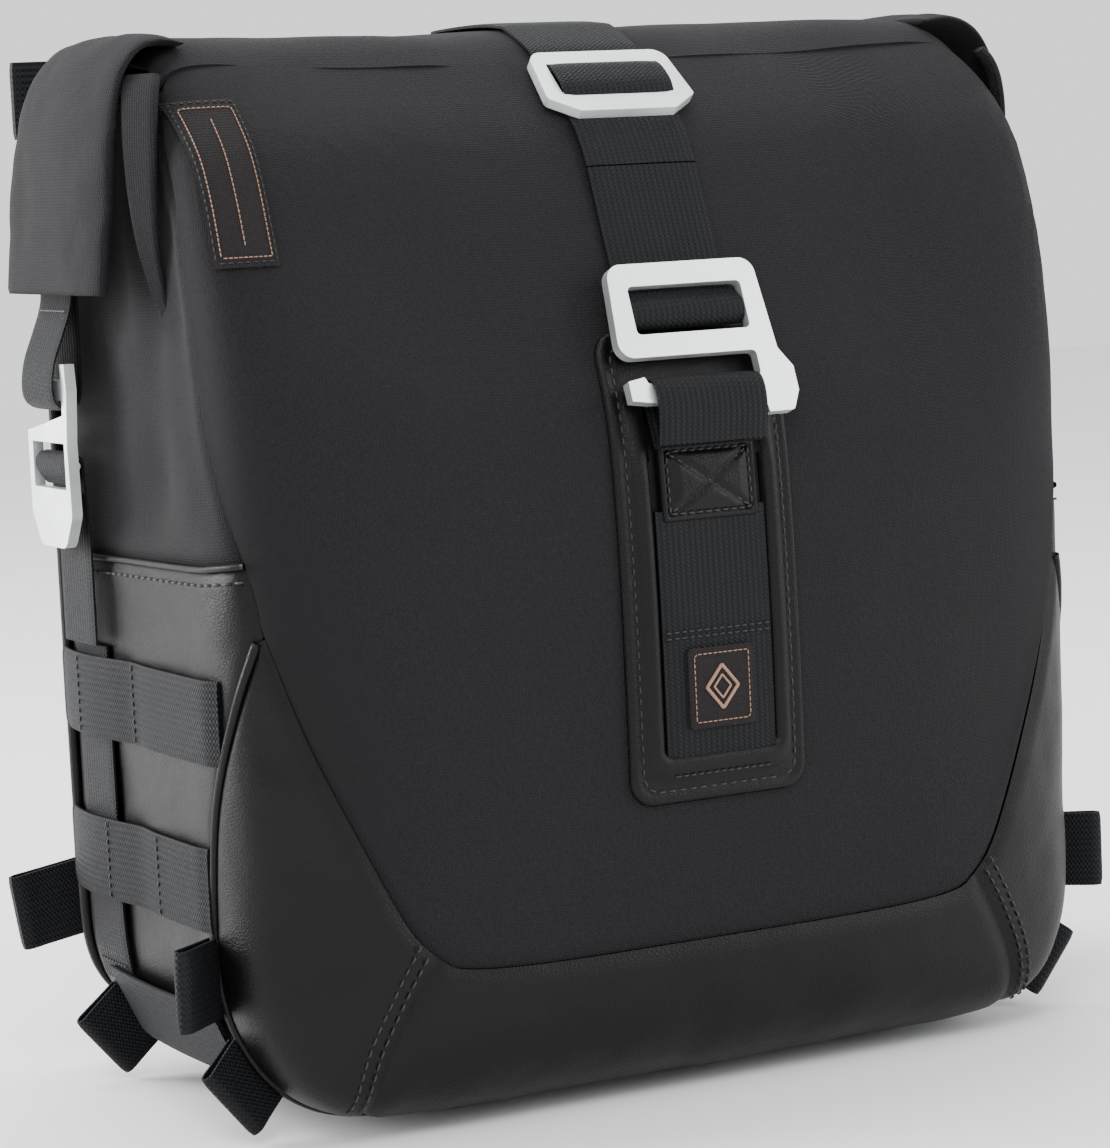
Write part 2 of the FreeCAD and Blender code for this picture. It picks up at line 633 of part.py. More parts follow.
frame_side = "slot_half + hook_side"
front_hook = plate("front_hook", [
    (f"-({frame_side})", "-(slot_rise + hook_bar)"), ("slot_half", "-(slot_rise + hook_bar)"),
    ("slot_half", "-catch_bar_top"), ("-slot_half", "-catch_bar_top"),
    ("-slot_half - 1", "-catch_bar_top + 2"),
    (f"-({frame_side}) + 1", "-catch_bar_top + 1"), (f"-({frame_side}) + 1", "-catch_bar_low + 1"),
    ("-slot_half", "-catch_bar_low"), ("slot_half - 0.8", "-catch_bar_low"), ("slot_half", "-hook_drop"),
    (f"{frame_side} + 1", "-hook_drop"), (f"{frame_side} + hook_bump", "-hook_drop + 6"),
    (f"{frame_side} + hook_bump", "-catch_bar_top + 2"), (f"{frame_side}", "-(slot_rise + hook_bar)"),
    (f"{frame_side} - 2", "slot_rise + hook_bar"), (f"-({frame_side}) + 2", "slot_rise + hook_bar"),
], "hook_plate", holes=[rectangle("-slot_half", "-slot_rise", "slot_half", "slot_rise")])
corner_u = size("slot_half") + size("hook_side")
corner_v = size("slot_rise") + size("hook_bar")
round_edges(front_hook, upright_edges(front_hook.Shape, [
    (-corner_u, -corner_v), (corner_u - 2, corner_v), (2 - corner_u, corner_v)]), "hook_corner")
round_edges(front_hook, upright_edges(front_hook.Shape, [
    (sx * size("slot_half"), sv * size("slot_rise")) for sx in (-1, 1) for sv in (-1, 1)]
    + [(corner_u + size("hook_bump"), -size("hook_drop") + 6), (corner_u + 1, -size("hook_drop")),
       (size("slot_half"), -corner_v), (size("slot_half"), -size("catch_bar_top"))]), "edge_round * 2")
pivot = sketch_on(front_hook, "YZ_Plane", "front_hook_pivot")
add_circle(pivot, "0", "0", "pivot_bar")
pivot_pad = pad(front_hook, pivot, "2 * slot_half + 1")
pivot_pad.SideType = "Symmetric"
doc.recompute()
front_hook.Placement = slope_frame.multiply(Placement(Vector(0, 0, hook_axis), Rotation()))
keep(front_hook)

catch_layer = thick - 0.2
catch_near = rim_top + 0.2
catch_far = hook_axis + size("hook_plate") + 0.4
tack_v = -(size("hook_z") - size("tack_panel_high")) / math.sin(slope)
fold_v = -size("catch_bar_top") + 0.4
hem_v = tack_v + 9
outer_loop = [(tack_v + 1, patch_top + 0.3), (tack_v + 8, patch_top + 0.3),
              (fold_v + catch_layer, patch_top + 0.6),
              (fold_v + catch_layer, catch_far + catch_layer), (hem_v, catch_far + catch_layer),
              (tack_v + 1, catch_near + catch_layer)]
inner_loop = [(hem_v - 0.8, patch_top + 0.3 + catch_layer), (fold_v, patch_top + 0.6 + catch_layer),
              (fold_v, catch_far), (hem_v + 0.4, catch_far)]
loop_width = 2 * size("strap_half") - 1
catch_loop = ribbon(outer_loop, loop_width).cut(ribbon(inner_loop, loop_width + 2))
keep(feature("front_catch_loop", catch_loop, slope_frame))

# ---------------------------------------------------------------- strap over the top and its adjuster

frame_inverse = slope_frame.inverse()
half = size("strap_half")
band = side_band(gap, gap + thick, half)
past_ridge = Part.makeBox(4 * half, FAR, FAR, Vector(-2 * half, reach + 0.5, -FAR / 2))
past_ridge.Placement = slope_frame
halfway = 20
front_part = prism("x", sharp([(-FAR, 0), (halfway, 0), (halfway, 2 * FAR), (-FAR, 2 * FAR)]), -FAR, FAR)
rear_part = prism("x", sharp([(halfway, RIDGE[1]), (FAR, RIDGE[1]), (FAR, 2 * FAR), (halfway, 2 * FAR)]),
                  -FAR, FAR)
ahead = band.common(past_ridge).common(front_part)
behind = band.common(rear_part).common(above_mouth(size("mouth_gap")))
keep(feature("centre_strap_top", ahead.fuse(behind).removeSplitter()))

lean = math.atan2(CREST[1] - RIDGE[1], CREST[0] - RIDGE[0])
step = size("adjuster_place")
adjuster_spot = Vector(0, RIDGE[0] + step * math.cos(lean), RIDGE[1] + step * math.sin(lean))
adjuster = plate("strap_adjuster", [
    ("-adjuster_half", "-adjuster_rise + adjuster_chamfer"), ("-adjuster_half + 1.5 * adjuster_chamfer",
                                                              "-adjuster_rise"),
    ("adjuster_half - 1.5 * adjuster_chamfer", "-adjuster_rise"),
    ("adjuster_half", "-adjuster_rise + adjuster_chamfer"), ("adjuster_half - 2", "adjuster_rise"),
    ("-adjuster_half + 2", "adjuster_rise")], "adjuster_plate",
    holes=[rectangle("-slot_half", "-adjuster_slot + 1.5", "slot_half", "adjuster_slot + 1.5")])
round_edges(adjuster, upright_edges(adjuster.Shape, [
    (sx * (size("adjuster_half") - 2), size("adjuster_rise")) for sx in (-1, 1)]), "hook_corner")
round_edges(adjuster, upright_edges(adjuster.Shape, [
    (sx * size("adjuster_half"), size("adjuster_chamfer") - size("adjuster_rise")) for sx in (-1, 1)]),
    "edge_round * 2")
adjuster.Placement = Placement(adjuster_spot, Rotation(Vector(1, 0, 0), math.degrees(lean))).multiply(
    Placement(Vector(0, 0, size("adjuster_stand")), Rotation()))
keep(adjuster)

# ---------------------------------------------------------------- rolled closure

roll_corners = [(-size("roll_front"), size("roll_low"), 4),
                (size("roll_back"), size("roll_low") - 4, 4),
                (size("roll_back") - 7, size("roll_high"), 5),
                (-size("roll_front") + 8, size("roll_high"), 4)]
roll_half = size("roll_half")
roll_bar = prism("x", roll_corners, -roll_half, roll_half)
stay_middle = ((size("roll_back") - size("roll_front")) / 2, (size("roll_high") + size("roll_low")) / 2 - 1)
stay_half = size("stay_half")
play = size("stay_play")


def stay_bar(grow):
    wide = size("stay_width") + 2 * grow
    high = size("stay_thick") + 2 * grow
    corner = Vector(-stay_half - grow, stay_middle[0] - wide / 2, stay_middle[1] - high / 2)
    return Part.makeBox(2 * (stay_half + grow), wide, high, corner)


keep(feature("roll_core", roll_bar.cut(stay_bar(play))))
keep(feature("roll_stiffener", stay_bar(0)))

inner = size("flap_inner")
outer = inner + size("flap_thick")
low = size("flap_low")
FLAP = [(inner, low, 0), (outer - 1, low, 3), (outer + 1, 290, 40), (outer - 2, 325, 12), (134, 332, 0),
        (134, 327.6, 0), (inner - 7, 327, 3), (inner, 314, 6)]
for name, sx in (("left", -1), ("right", 1)):
    mirrored = [(sx * u, v, radius) for u, v, radius in FLAP]
    flap = prism("y", mirrored, -size("flap_front"), size("flap_back"))
    keep(feature(f"roll_end_{name}", flap))

# ---------------------------------------------------------------- side hooks, straps and loops

side_width = size("side_webbing")
side_y = size("side_strap_y")
side_axis = size("side_hook_stand")
side_eye = size("side_pivot_bar") + size("pivot_play")
side_low = side_axis - side_eye - thick
for name, sx in (("left", -1), ("right", 1)):
    # local X runs along the bag's side, local Y up and local Z away from the side
    turn = Rotation(Vector(0, 0, 1), -90 if sx < 0 else 90).multiply(Rotation(Vector(1, 0, 0), 90))
    side_frame = Placement(Vector(sx * HALF, side_y, size("side_hook_z")), turn)
    split_v = size("side_strap_split") - size("side_hook_z")
    upper = ribbon([(split_v, gap), (split_v, gap + thick), (-16, gap + thick), (-7, side_low + thick),
                    (0, side_low + thick), (0, side_low), (-7, side_low), (-16, gap)], side_width)
    upper = upper.fuse(webbing_eye(side_eye, side_axis, thick, side_width)).removeSplitter()
    keep(feature(f"side_strap_upper_{name}", upper, side_frame))
    strap_front = side_y - side_width / 2
    cover = prism("y", FRONT_OUTLINE, strap_front, strap_front + side_width, gap + thick)
    under = prism("y", FRONT_OUTLINE, -FAR, FAR, gap)
    strap_room = Part.makeBox(FAR, FAR, size("side_strap_split") - 0.5 - size("side_strap_low"),
                              Vector(-FAR if sx < 0 else 0, -HALF, size("side_strap_low")))
    keep(feature(f"side_strap_lower_{name}", cover.cut(under).common(strap_room)))

    hook = plate(f"side_hook_{name}", [
        ("-side_plate_half", "-side_plate_low"), ("side_plate_half", "-side_plate_low"),
        ("side_hook_half", "-side_plate_low + 10"), ("side_hook_half - 1", "side_slot_rise"),
        ("side_hook_half + 1", "side_prong - 8"), ("side_hook_half", "side_prong"),
        ("side_hook_half - 3.5", "side_prong"), ("side_hook_half - 3.5", "side_bar_high"),
        ("-side_slot_half", "side_bar_high"), ("-side_slot_half - 1", "side_bar_high + 2"),
        ("-side_hook_half", "side_bar_high + 1"), ("-side_hook_half", "side_bar_low"),
        ("side_hook_half - 3.5", "side_bar_low"), ("side_hook_half - 3.5", "side_slot_rise + 8.5"),
        ("-side_hook_half", "side_slot_rise + 3"), ("-side_hook_half", "-side_plate_low + 10"),
    ], "side_hook_plate", holes=[rectangle("-side_slot_half", "-side_slot_rise", "side_slot_half",
                                           "side_slot_rise")])
    low_spots = [(s * size("side_plate_half"), -size("side_plate_low")) for s in (-1, 1)]
    low_spots += [(s * size("side_hook_half"), 10 - size("side_plate_low")) for s in (-1, 1)]
    round_edges(hook, upright_edges(hook.Shape, low_spots), "hook_corner")
    axle = sketch_on(hook, "YZ_Plane", f"side_hook_pivot_{name}")
    add_circle(axle, "0", "0", "side_pivot_bar")
    axle_pad = pad(hook, axle, "2 * side_slot_half + 1")
    axle_pad.SideType = "Symmetric"
    doc.recompute()
    hook.Placement = side_frame.multiply(Placement(Vector(0, 0, side_axis), Rotation()))
    keep(hook)

    bar_v = size("side_bar_low") - 0.4
    far = side_axis + size("side_hook_plate") + 0.4
    near = size("flap_inner") - HALF - 0.4
    top_v = low + 14 - size("side_hook_z")
    layer = thick - 0.3
    lift = 1.0
    flap_v = low - size("side_hook_z")
    loop_outer = [(top_v, lift), (bar_v - layer, lift), (bar_v - layer, far + layer),
                  (bar_v + 12, far + layer), (flap_v - 3, near), (top_v, near)]
    loop_inner = [(flap_v - 8, lift + layer), (bar_v, lift + layer), (bar_v, far), (bar_v + 11, far)]
    side_loop = ribbon(loop_outer, side_width).cut(ribbon(loop_inner, side_width + 2))
    keep(feature(f"side_loop_{name}", side_loop, side_frame))

# ---------------------------------------------------------------- webbing rows on the sides

for name, sx in (("left", "-"), ("right", "")):
    for number, middle in (("one", "row_one_z"), ("two", "row_two_z")):
        near, far = "half_width + 0.1", "half_width + row_stand + row_thick"
        lift = "half_width + row_stand"
        corners = [(near, "-row_front"), (far, "-row_front"), (far, "row_back"), (near, "row_back"),
                   (near, "row_back - row_tab"), (lift, "row_back - row_tab"),
                   (lift, "-row_front + row_tab"),
                   (near, "-row_front + row_tab")]
        row = plate(f"webbing_row_{number}_{name}", [(f"{sx}({u})", v) for u, v in corners], "side_webbing")
        row.setExpression("Placement.Base.z", bound(f"{middle} - side_webbing / 2"))
        keep(row)
    outer_face = prism("y", FRONT_OUTLINE, -size("row_three_front"), size("row_three_back"),
                       size("row_stand") + size("row_thick"))
    inner_face = prism("y", FRONT_OUTLINE, -FAR, FAR, size("row_stand"))
    reach_box = Part.makeBox(FAR, FAR, size("row_three_high") - size("row_three_low"),
                             Vector(-FAR if sx else 0, -HALF, size("row_three_low")))
    keep(feature(f"webbing_row_three_{name}", outer_face.cut(inner_face).common(reach_box)))

# ---------------------------------------------------------------- lashing loops

lash = size("lash_thick")
lash_gap = size("lash_gap")
lash_width = size("lash_width")


def lashing_loop(length):
    """A flattened webbing loop along local +X, its width along local Y, sewn at local X = 0."""
    high = 2 * lash + lash_gap
    seam = 3
    outer = Part.makeBox(length, lash_width, high, Vector(0, -lash_width / 2, -high / 2))
    rims = [edge for edge in outer.Edges
            if all(abs(end.Point.x - length) < 0.01 for end in edge.Vertexes)
            and abs(edge.Vertexes[0].Point.y - edge.Vertexes[-1].Point.y) > 1]
    outer = outer.makeFillet(high / 2 - 0.05, rims)
    hollow = Part.makeBox(length - lash - seam, lash_width + 2, lash_gap,
                          Vector(seam, -lash_width / 2 - 1, -lash_gap / 2))
    return outer.cut(hollow)


def loop_pair(label, spot, outward, across, length):
    """Mirror-image lashing loops on the left and right; the vectors are those of the right-hand loop."""
    loops = []
    for sx in (1, -1):
        way = Vector(sx * outward[0], outward[1], outward[2]).normalize()
        wide = Vector(sx * across[0], across[1], across[2])
        wide = (wide - way * wide.dot(way)).normalize()
        turn = Rotation(way, wide, way.cross(wide), "XYZ")
        shape = lashing_loop(length)
        shape.Placement = Placement(Vector(sx * spot[0], spot[1], spot[2]), turn)
        loops.append(shape)
    keep(feature(label, Part.makeCompound(loops)))


def off_corner(degrees, stand):
    """A point (x, z) off the bag's rounded bottom corner, and the way down and out from it."""
    turn = math.radians(degrees)
    corner = size("bottom_corner")
    spot = (HALF - corner + (corner + stand) * math.cos(turn), corner - (corner + stand) * math.sin(turn))
    return spot, (math.cos(turn), -math.sin(turn))


UPRIGHT = (0, 0, 1)
(rear_x, rear_z), (rear_out, rear_down) = off_corner(40, 1)
(front_x, front_z), (front_out, front_down) = off_corner(39, 2.4)
LOOPS = {
    # name: where it is sewn, the way it points, its width's direction, its length
    "top": ((120, BACK + 3.6, 308), (1, 0.02, 0), UPRIGHT, 27),
    "rear": ((HALF - 3, BACK + 3.5, 54), (1, 0, -0.15), (0.15, 0, 1), 16),
    "rear_bottom": ((rear_x, 56, rear_z), (rear_out, 0, rear_down), (-rear_down, 0, rear_out), 14),
    "front": ((HALF + 2.7, -40, 50), (0.8, -0.6, 0), UPRIGHT, 15),
    "front_bottom": ((front_x, -40, front_z), (front_out, -0.35, front_down),
                     (-front_down, 0, front_out), 12),
}
for name, (spot, outward, across, length) in LOOPS.items():
    loop_pair(f"lashing_loops_{name}", spot, outward, across, length)

# ---------------------------------------------------------------- checks and export

doc.recompute()
for thing in doc.Objects:
    if "Invalid" in thing.State or "Error" in thing.State:
        raise ValueError(f"{thing.Label} did not compute: {thing.State}")
os.makedirs("parts", exist_ok=True)
whole = FreeCAD.BoundBox()
for thing in nodes:
    shape = thing.Shape
    if shape.isNull() or not shape.isValid() or not shape.Solids:
        raise ValueError(f"{thing.Label} has no valid solid")
    whole.add(shape.BoundBox)
    shape.exportStep(f"parts/{thing.Label}.step")
print(len(nodes), "nodes", whole)
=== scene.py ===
import math

import bmesh
import bpy
import numpy as np
from mathutils import Matrix, Vector, noise


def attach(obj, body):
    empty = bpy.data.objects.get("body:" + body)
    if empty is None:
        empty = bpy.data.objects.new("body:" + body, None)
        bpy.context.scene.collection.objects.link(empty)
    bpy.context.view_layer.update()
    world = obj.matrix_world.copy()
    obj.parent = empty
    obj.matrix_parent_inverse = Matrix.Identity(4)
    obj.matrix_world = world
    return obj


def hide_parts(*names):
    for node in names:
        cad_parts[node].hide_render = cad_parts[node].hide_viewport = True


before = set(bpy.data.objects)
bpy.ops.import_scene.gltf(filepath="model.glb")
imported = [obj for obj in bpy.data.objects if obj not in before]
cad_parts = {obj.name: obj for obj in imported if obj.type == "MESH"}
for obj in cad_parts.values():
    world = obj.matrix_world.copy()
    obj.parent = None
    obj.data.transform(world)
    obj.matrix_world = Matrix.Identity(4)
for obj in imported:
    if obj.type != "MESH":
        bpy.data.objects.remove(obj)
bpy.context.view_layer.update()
MM = 0.001

# ================================================================ materials


def rgba(colour):
    """A plain colour with its alpha; a socket stays as it is."""
    return (*colour, 1.0) if isinstance(colour, tuple) else colour


class Nodes:
    """A material's node tree with short helpers. Every socket that isn't linked holds a plain value."""

    def __init__(self, name):
        self.material = bpy.data.materials.new(name)
        self.material.use_nodes = True
        self.tree = self.material.node_tree
        self.shader = self.tree.nodes["Principled BSDF"]

    def add(self, kind, inputs=None, **settings):
        node = self.tree.nodes.new(kind)
        for key, value in settings.items():
            setattr(node, key, value)
        for key, value in (inputs or {}).items():
            self.feed(node.inputs[key], value)
        return node

    def feed(self, socket, value):
        if isinstance(value, bpy.types.NodeSocket):
            self.tree.links.new(value, socket)
        else:
            socket.default_value = value

    def math(self, operation, a, b=0.0, c=0.0):
        node = self.tree.nodes.new("ShaderNodeMath")
        node.operation = operation
        for socket, value in zip(node.inputs, (a, b, c)):
            self.feed(socket, value)
        return node.outputs[0]

    def cloth(self):
        """(along, across, third) in metres, stored on the mesh, so a weave follows its cloth."""
        attribute = self.add("ShaderNodeAttribute", attribute_name="cloth")
        split = self.add("ShaderNodeSeparateXYZ", {"Vector": attribute.outputs["Vector"]})
        return split.outputs[0], split.outputs[1], split.outputs[2]

    def place(self):
        return self.add("ShaderNodeTexCoord").outputs["Object"]

    def noise(self, scale, detail=3.0, rough=0.5, vector=None, stretch=None):
        vector = vector or self.place()
        if stretch:
            vector = self.add("ShaderNodeMapping", {"Vector": vector, "Scale": stretch}).outputs[0]
        inputs = {"Vector": vector, "Scale": scale, "Detail": detail, "Roughness": rough}
        return self.add("ShaderNodeTexNoise", inputs).outputs["Fac"]

    def ramp(self, value, low, high, out_low=0.0, out_high=1.0):
        made = self.add("ShaderNodeMapRange", {"Value": value, "From Min": low, "From Max": high,
                                               "To Min": out_low, "To Max": out_high})
        return made.outputs[0]

    def mix(self, share, a, b):
        node = self.tree.nodes.new("ShaderNodeMix")
        node.data_type = "RGBA"
        self.feed(node.inputs[0], share)
        self.feed(node.inputs[6], rgba(a))
        self.feed(node.inputs[7], rgba(b))
        return node.outputs[2]

    def wave(self, value, period):
        """A smooth 0..1 ripple of a length in metres."""
        turned = self.math("SINE", self.math("MULTIPLY", value, 2 * math.pi / period))
        return self.math("MULTIPLY_ADD", turned, 0.5, 0.5)

    def bump(self, height, depth, before=None):
        inputs = {"Height": height, "Distance": depth, "Strength": 1.0}
        if before is not None:
            inputs["Normal"] = before
        return self.add("ShaderNodeBump", inputs).outputs[0]

    def finish(self, colour=None, rough=None, normal=None, **plain):
        if colour is not None:
            self.feed(self.shader.inputs["Base Color"], rgba(colour))
        if rough is not None:
            self.feed(self.shader.inputs["Roughness"], rough)
        if normal is not None:
            self.feed(self.shader.inputs["Normal"], normal)
        for key, value in plain.items():
            self.shader.inputs[key.replace("_", " ")].default_value = value
        return self.material


def canvas_material(name, dark=(0.0035, 0.0034, 0.0042), light=(0.012, 0.0118, 0.0139)):
    """Coated cotton twill: fine diagonal weave, dusty variation, a soft sheen."""
    m = Nodes(name)
    along, across, _ = m.cloth()
    diagonal = m.wave(m.math("ADD", along, across), 0.00105)
    yarn = m.wave(along, 0.00075)
    pick = m.wave(across, 0.0009)
    weave = m.math("MULTIPLY_ADD", diagonal, 0.55, m.math("MULTIPLY", yarn, pick))
    slub = m.noise(900, 2, 0.6)
    cloud = m.noise(11, 4, 0.6)
    height = m.math("ADD", weave, m.math("MULTIPLY", slub, 0.9))
    tone = m.math("ADD", m.math("MULTIPLY", weave, 0.22), m.math("MULTIPLY", slub, 0.55))
    tone = m.math("ADD", tone, m.ramp(cloud, 0.3, 0.7, -0.12, 0.12))
    colour = m.mix(m.ramp(tone, 0.2, 0.9), dark, light)
    normal = m.bump(height, 0.0002)
    return m.finish(colour, m.ramp(cloud, 0.3, 0.7, 0.78, 0.9), normal,
                    Sheen_Weight=0.02, Sheen_Roughness=0.4, Specular_IOR_Level=0.22)


def leather_material(name):
    """Smooth synthetic leather: fine pebble grain, soft gloss, faint creases and rubbed spots."""
    m = Nodes(name)
    pebbles = {"Vector": m.place(), "Scale": 900.0}
    cells = m.add("ShaderNodeTexVoronoi", pebbles, feature="DISTANCE_TO_EDGE")
    grain = m.ramp(cells.outputs[0], 0.0, 0.22)
    pores = m.noise(2600, 2, 0.5)
    crease = m.noise(17, 3, 0.5, stretch=(1.0, 1.0, 1.4))
    rub = m.noise(9, 4, 0.6)
    colour = m.mix(m.ramp(rub, 0.3, 0.75), (0.0012, 0.0012, 0.0013), (0.003, 0.003, 0.0033))
    rough = m.math("ADD", m.ramp(rub, 0.3, 0.7, 0.34, 0.44), m.math("MULTIPLY", pores, 0.06))
    normal = m.bump(grain, 0.00005)
    normal = m.bump(m.ramp(crease, 0.3, 0.75), 0.0008, normal)
    return m.finish(colour, rough, normal, Specular_IOR_Level=0.17)


def webbing_material(name, dark=(0.001, 0.0011, 0.0014), light=(0.0075, 0.0081, 0.0098), rib=0.0019):
    """Ribbed polyamide webbing: ribs along the strap and small picks across it."""
    m = Nodes(name)
    along, across, _ = m.cloth()
    ribs = m.wave(across, rib)
    shift = m.math("MULTIPLY", m.math("ROUND", m.math("DIVIDE", across, rib / 2)), 0.0006)
    picks = m.wave(m.math("ADD", along, shift), 0.0013)
    yarn = m.math("MULTIPLY_ADD", picks, 0.75, m.math("MULTIPLY", ribs, 0.55))
    fuzz = m.noise(1300, 2, 0.6)
    tone = m.math("MULTIPLY_ADD", fuzz, 0.5, m.math("MULTIPLY", yarn, 0.5))
    colour = m.mix(m.ramp(tone, 0.25, 0.95), dark, light)
    normal = m.bump(yarn, 0.00022)
    return m.finish(colour, m.ramp(fuzz, 0.3, 0.7, 0.5, 0.66), normal,
                    Sheen_Weight=0.008, Sheen_Roughness=0.4, Specular_IOR_Level=0.14)


def thread_material(name, colour):
    m = Nodes(name)
    twist = m.noise(2500, 2, 0.5)
    tone = m.mix(m.ramp(twist, 0.3, 0.7), tuple(0.55 * c for c in colour), colour)
    return m.finish(tone, 0.55, m.bump(twist, 0.00008), Sheen_Weight=0.04)


def metal_material(name):
    """Satin bead-blasted aluminium, a little brighter where fingers polish it."""
    m = Nodes(name)
    blast = m.noise(1500, 3, 0.6)
    cloud = m.noise(45, 4, 0.6)
    colour = m.mix(m.ramp(cloud, 0.3, 0.7), (0.84, 0.86, 0.87), (0.92, 0.94, 0.95))
    rough = m.ramp(m.math("ADD", m.math("MULTIPLY", blast, 0.3), cloud), 0.4, 0.95, 0.34, 0.48)
    return m.finish(colour, rough, m.bump(blast, 0.00003), Metallic=0.85)


def steel_material(name):
    m = Nodes(name)
    brush = m.noise(500, 3, 0.5, stretch=(0.05, 1.0, 1.0))
    colour = m.mix(brush, (0.42, 0.42, 0.43), (0.62, 0.62, 0.63))
    return m.finish(colour, m.ramp(brush, 0.3, 0.7, 0.25, 0.42), m.bump(brush, 0.00003), Metallic=1.0)


def plastic_material(name):
    """Moulded glass-filled nylon: fine spark texture, paler scuffs."""
    m = Nodes(name)
    spark = m.noise(1100, 3, 0.65)
    scuff = m.noise(35, 5, 0.7)
    colour = m.mix(m.ramp(scuff, 0.5, 0.8), (0.012, 0.012, 0.013), (0.026, 0.026, 0.028))
    return m.finish(colour, m.ramp(scuff, 0.3, 0.8, 0.5, 0.66), m.bump(spark, 0.00008))


def board_material(name):
    m = Nodes(name)
    cloud = m.noise(40, 4, 0.6)
    colour = m.mix(cloud, (0.02, 0.02, 0.022), (0.04, 0.04, 0.043))
    return m.finish(colour, m.ramp(cloud, 0.3, 0.7, 0.4, 0.55), m.bump(m.noise(300, 3), 0.0001))


def liner_material(name):
    """Light grey coated liner with a small ripstop grid."""
    m = Nodes(name)
    along, across, _ = m.cloth()
    cord = m.math("MAXIMUM", m.wave(along, 0.005), m.wave(across, 0.005))
    grid = m.ramp(cord, 0.93, 1.0)
    cloud = m.noise(20, 4, 0.6)
    colour = m.mix(m.ramp(cloud, 0.3, 0.7), (0.14, 0.145, 0.155), (0.20, 0.205, 0.215))
    normal = m.bump(grid, 0.00012)
    normal = m.bump(m.noise(45, 4), 0.0012, normal)
    return m.finish(colour, m.ramp(grid, 0.0, 1.0, 0.42, 0.5), normal, Sheen_Weight=0.1)


MATERIALS = {
    "canvas": canvas_material("canvas"),
    "leather": leather_material("leather"),
    "webbing": webbing_material("webbing"),
    "thread": thread_material("thread", (0.0045, 0.0045, 0.005)),
    "pale_thread": thread_material("pale_thread", (0.16, 0.17, 0.18)),
    "copper": thread_material("copper", (0.30, 0.165, 0.105)),
    "metal": metal_material("metal"),
    "steel": steel_material("steel"),
    "plastic": plastic_material("plastic"),
    "board": board_material("board"),
    "liner": liner_material("liner"),
    "label": canvas_material("label", (0.006, 0.005, 0.005), (0.017, 0.014, 0.014)),
}

# ================================================================ the bag's smooth form

# Convex outlines in metres. The bag's surface is a soft intersection of the three.
SIDE = [(-50, 0), (-68, 7), (-79, 24), (-83.6, 55), (-84.6, 95), (-84.4, 140), (-82, 178), (-78.3, 205),
        (-71, 225), (-60.3, 253), (-48.5, 284), (-40, 295), (-23, 310.5), (-7, 323), (8, 326.4), (30, 326.9),
        (52, 325.6), (66, 317), (75, 300), (80.5, 268), (82, 200), (82, 100), (80.5, 60), (73, 31), (57, 11),
        (35, 2), (10, 0)]
FACE = [(60, 0), (92, 0.5), (108, 2.5), (122, 8), (134, 17.5), (142.6, 30), (148, 43), (150, 60),
        (150.3, 105), (150.3, 150), (150.3, 200), (150, 250), (148.7, 282), (145, 308), (136.5, 322),
        (118, 326.9)]
PLAN = [(150.3, -40), (148.5, -52), (142.5, -61.5), (129, -69.5), (108, -77.3), (82, -82.5),
        (50, -84.8), (0, -85),
        (150.3, 66), (147, 76), (138, 81.5), (0, 82)]
EDGE_SOFTNESS = 5.0


def rounded(points, passes=2):
    """An outline with its corners cut off a few times, in a loop."""
    points = np.array(points, float)
    for _ in range(passes):
        following = np.roll(points, -1, axis=0)
        cuts = [points * 0.75 + following * 0.25, points * 0.25 + following * 0.75]
        points = np.stack(cuts).transpose(1, 0, 2).reshape(-1, 2)
    return points


def convex_loop(points):
    centre = np.mean(points, axis=0)
    return sorted(points, key=lambda p: math.atan2(p[1] - centre[1], p[0] - centre[0]))


def planes(points):
    """Edge planes of the smoothed outline: an array of (normal u, normal v, offset)."""
    loop = rounded(convex_loop(points))
    step = np.roll(loop, -1, axis=0) - loop
    normal = np.column_stack([step[:, 1], -step[:, 0]]) / np.linalg.norm(step, axis=1)[:, None]
    return np.column_stack([normal, (normal * loop).sum(1)])


SIDE_PLANES = planes(SIDE)
FACE_PLANES = planes(FACE + [(-x, z) for x, z in FACE])
PLAN_PLANES = planes(PLAN + [(-x, y) for x, y in PLAN if x])


def outline_distance(table, u, v):
    return (table[:, 0] * u[:, None] + table[:, 1] * v[:, None] - table[:, 2]).max(axis=1)


def form(p):
    """Signed distance, about, of points in mm to the bag's surface; negative inside."""
    parts = np.stack([outline_distance(SIDE_PLANES, p[:, 1], p[:, 2]),
                      outline_distance(FACE_PLANES, p[:, 0], p[:, 2]),
                      outline_distance(PLAN_PLANES, p[:, 0], p[:, 1])])
    top = parts.max(axis=0)
    return top + EDGE_SOFTNESS * np.log(np.exp((parts - top) / EDGE_SOFTNESS).sum(axis=0))


CORE_LOW = np.array([-104.0, -34.0, 62.0])
CORE_HIGH = np.array([104.0, 34.0, 262.0])


BAG_REACH = 170.0
BISECTIONS = 34


def crossing(spots, near, far, inset=0.0):
    """How far along each line, between near and far, it leaves the bag's form less an inset."""
    far = np.full(len(near), float(far))
    for _ in range(BISECTIONS):
        middle = (near + far) / 2
        outside = form(spots(middle)) + inset > 0
        far = np.where(outside, middle, far)
        near = np.where(outside, near, middle)
    return near


def onto_bag(guide):
    """Moves guide points in mm along rays from the bag's core until they lie on its surface."""
    guide = np.asarray(guide, float)
    core = np.clip(guide, CORE_LOW, CORE_HIGH)
    way = guide - core
    way = way / np.maximum(np.linalg.norm(way, axis=1)[:, None], 1e-6)
    reach = crossing(lambda far: core + way * far[:, None], np.zeros(len(guide)), BAG_REACH)
    return core + way * reach[:, None]


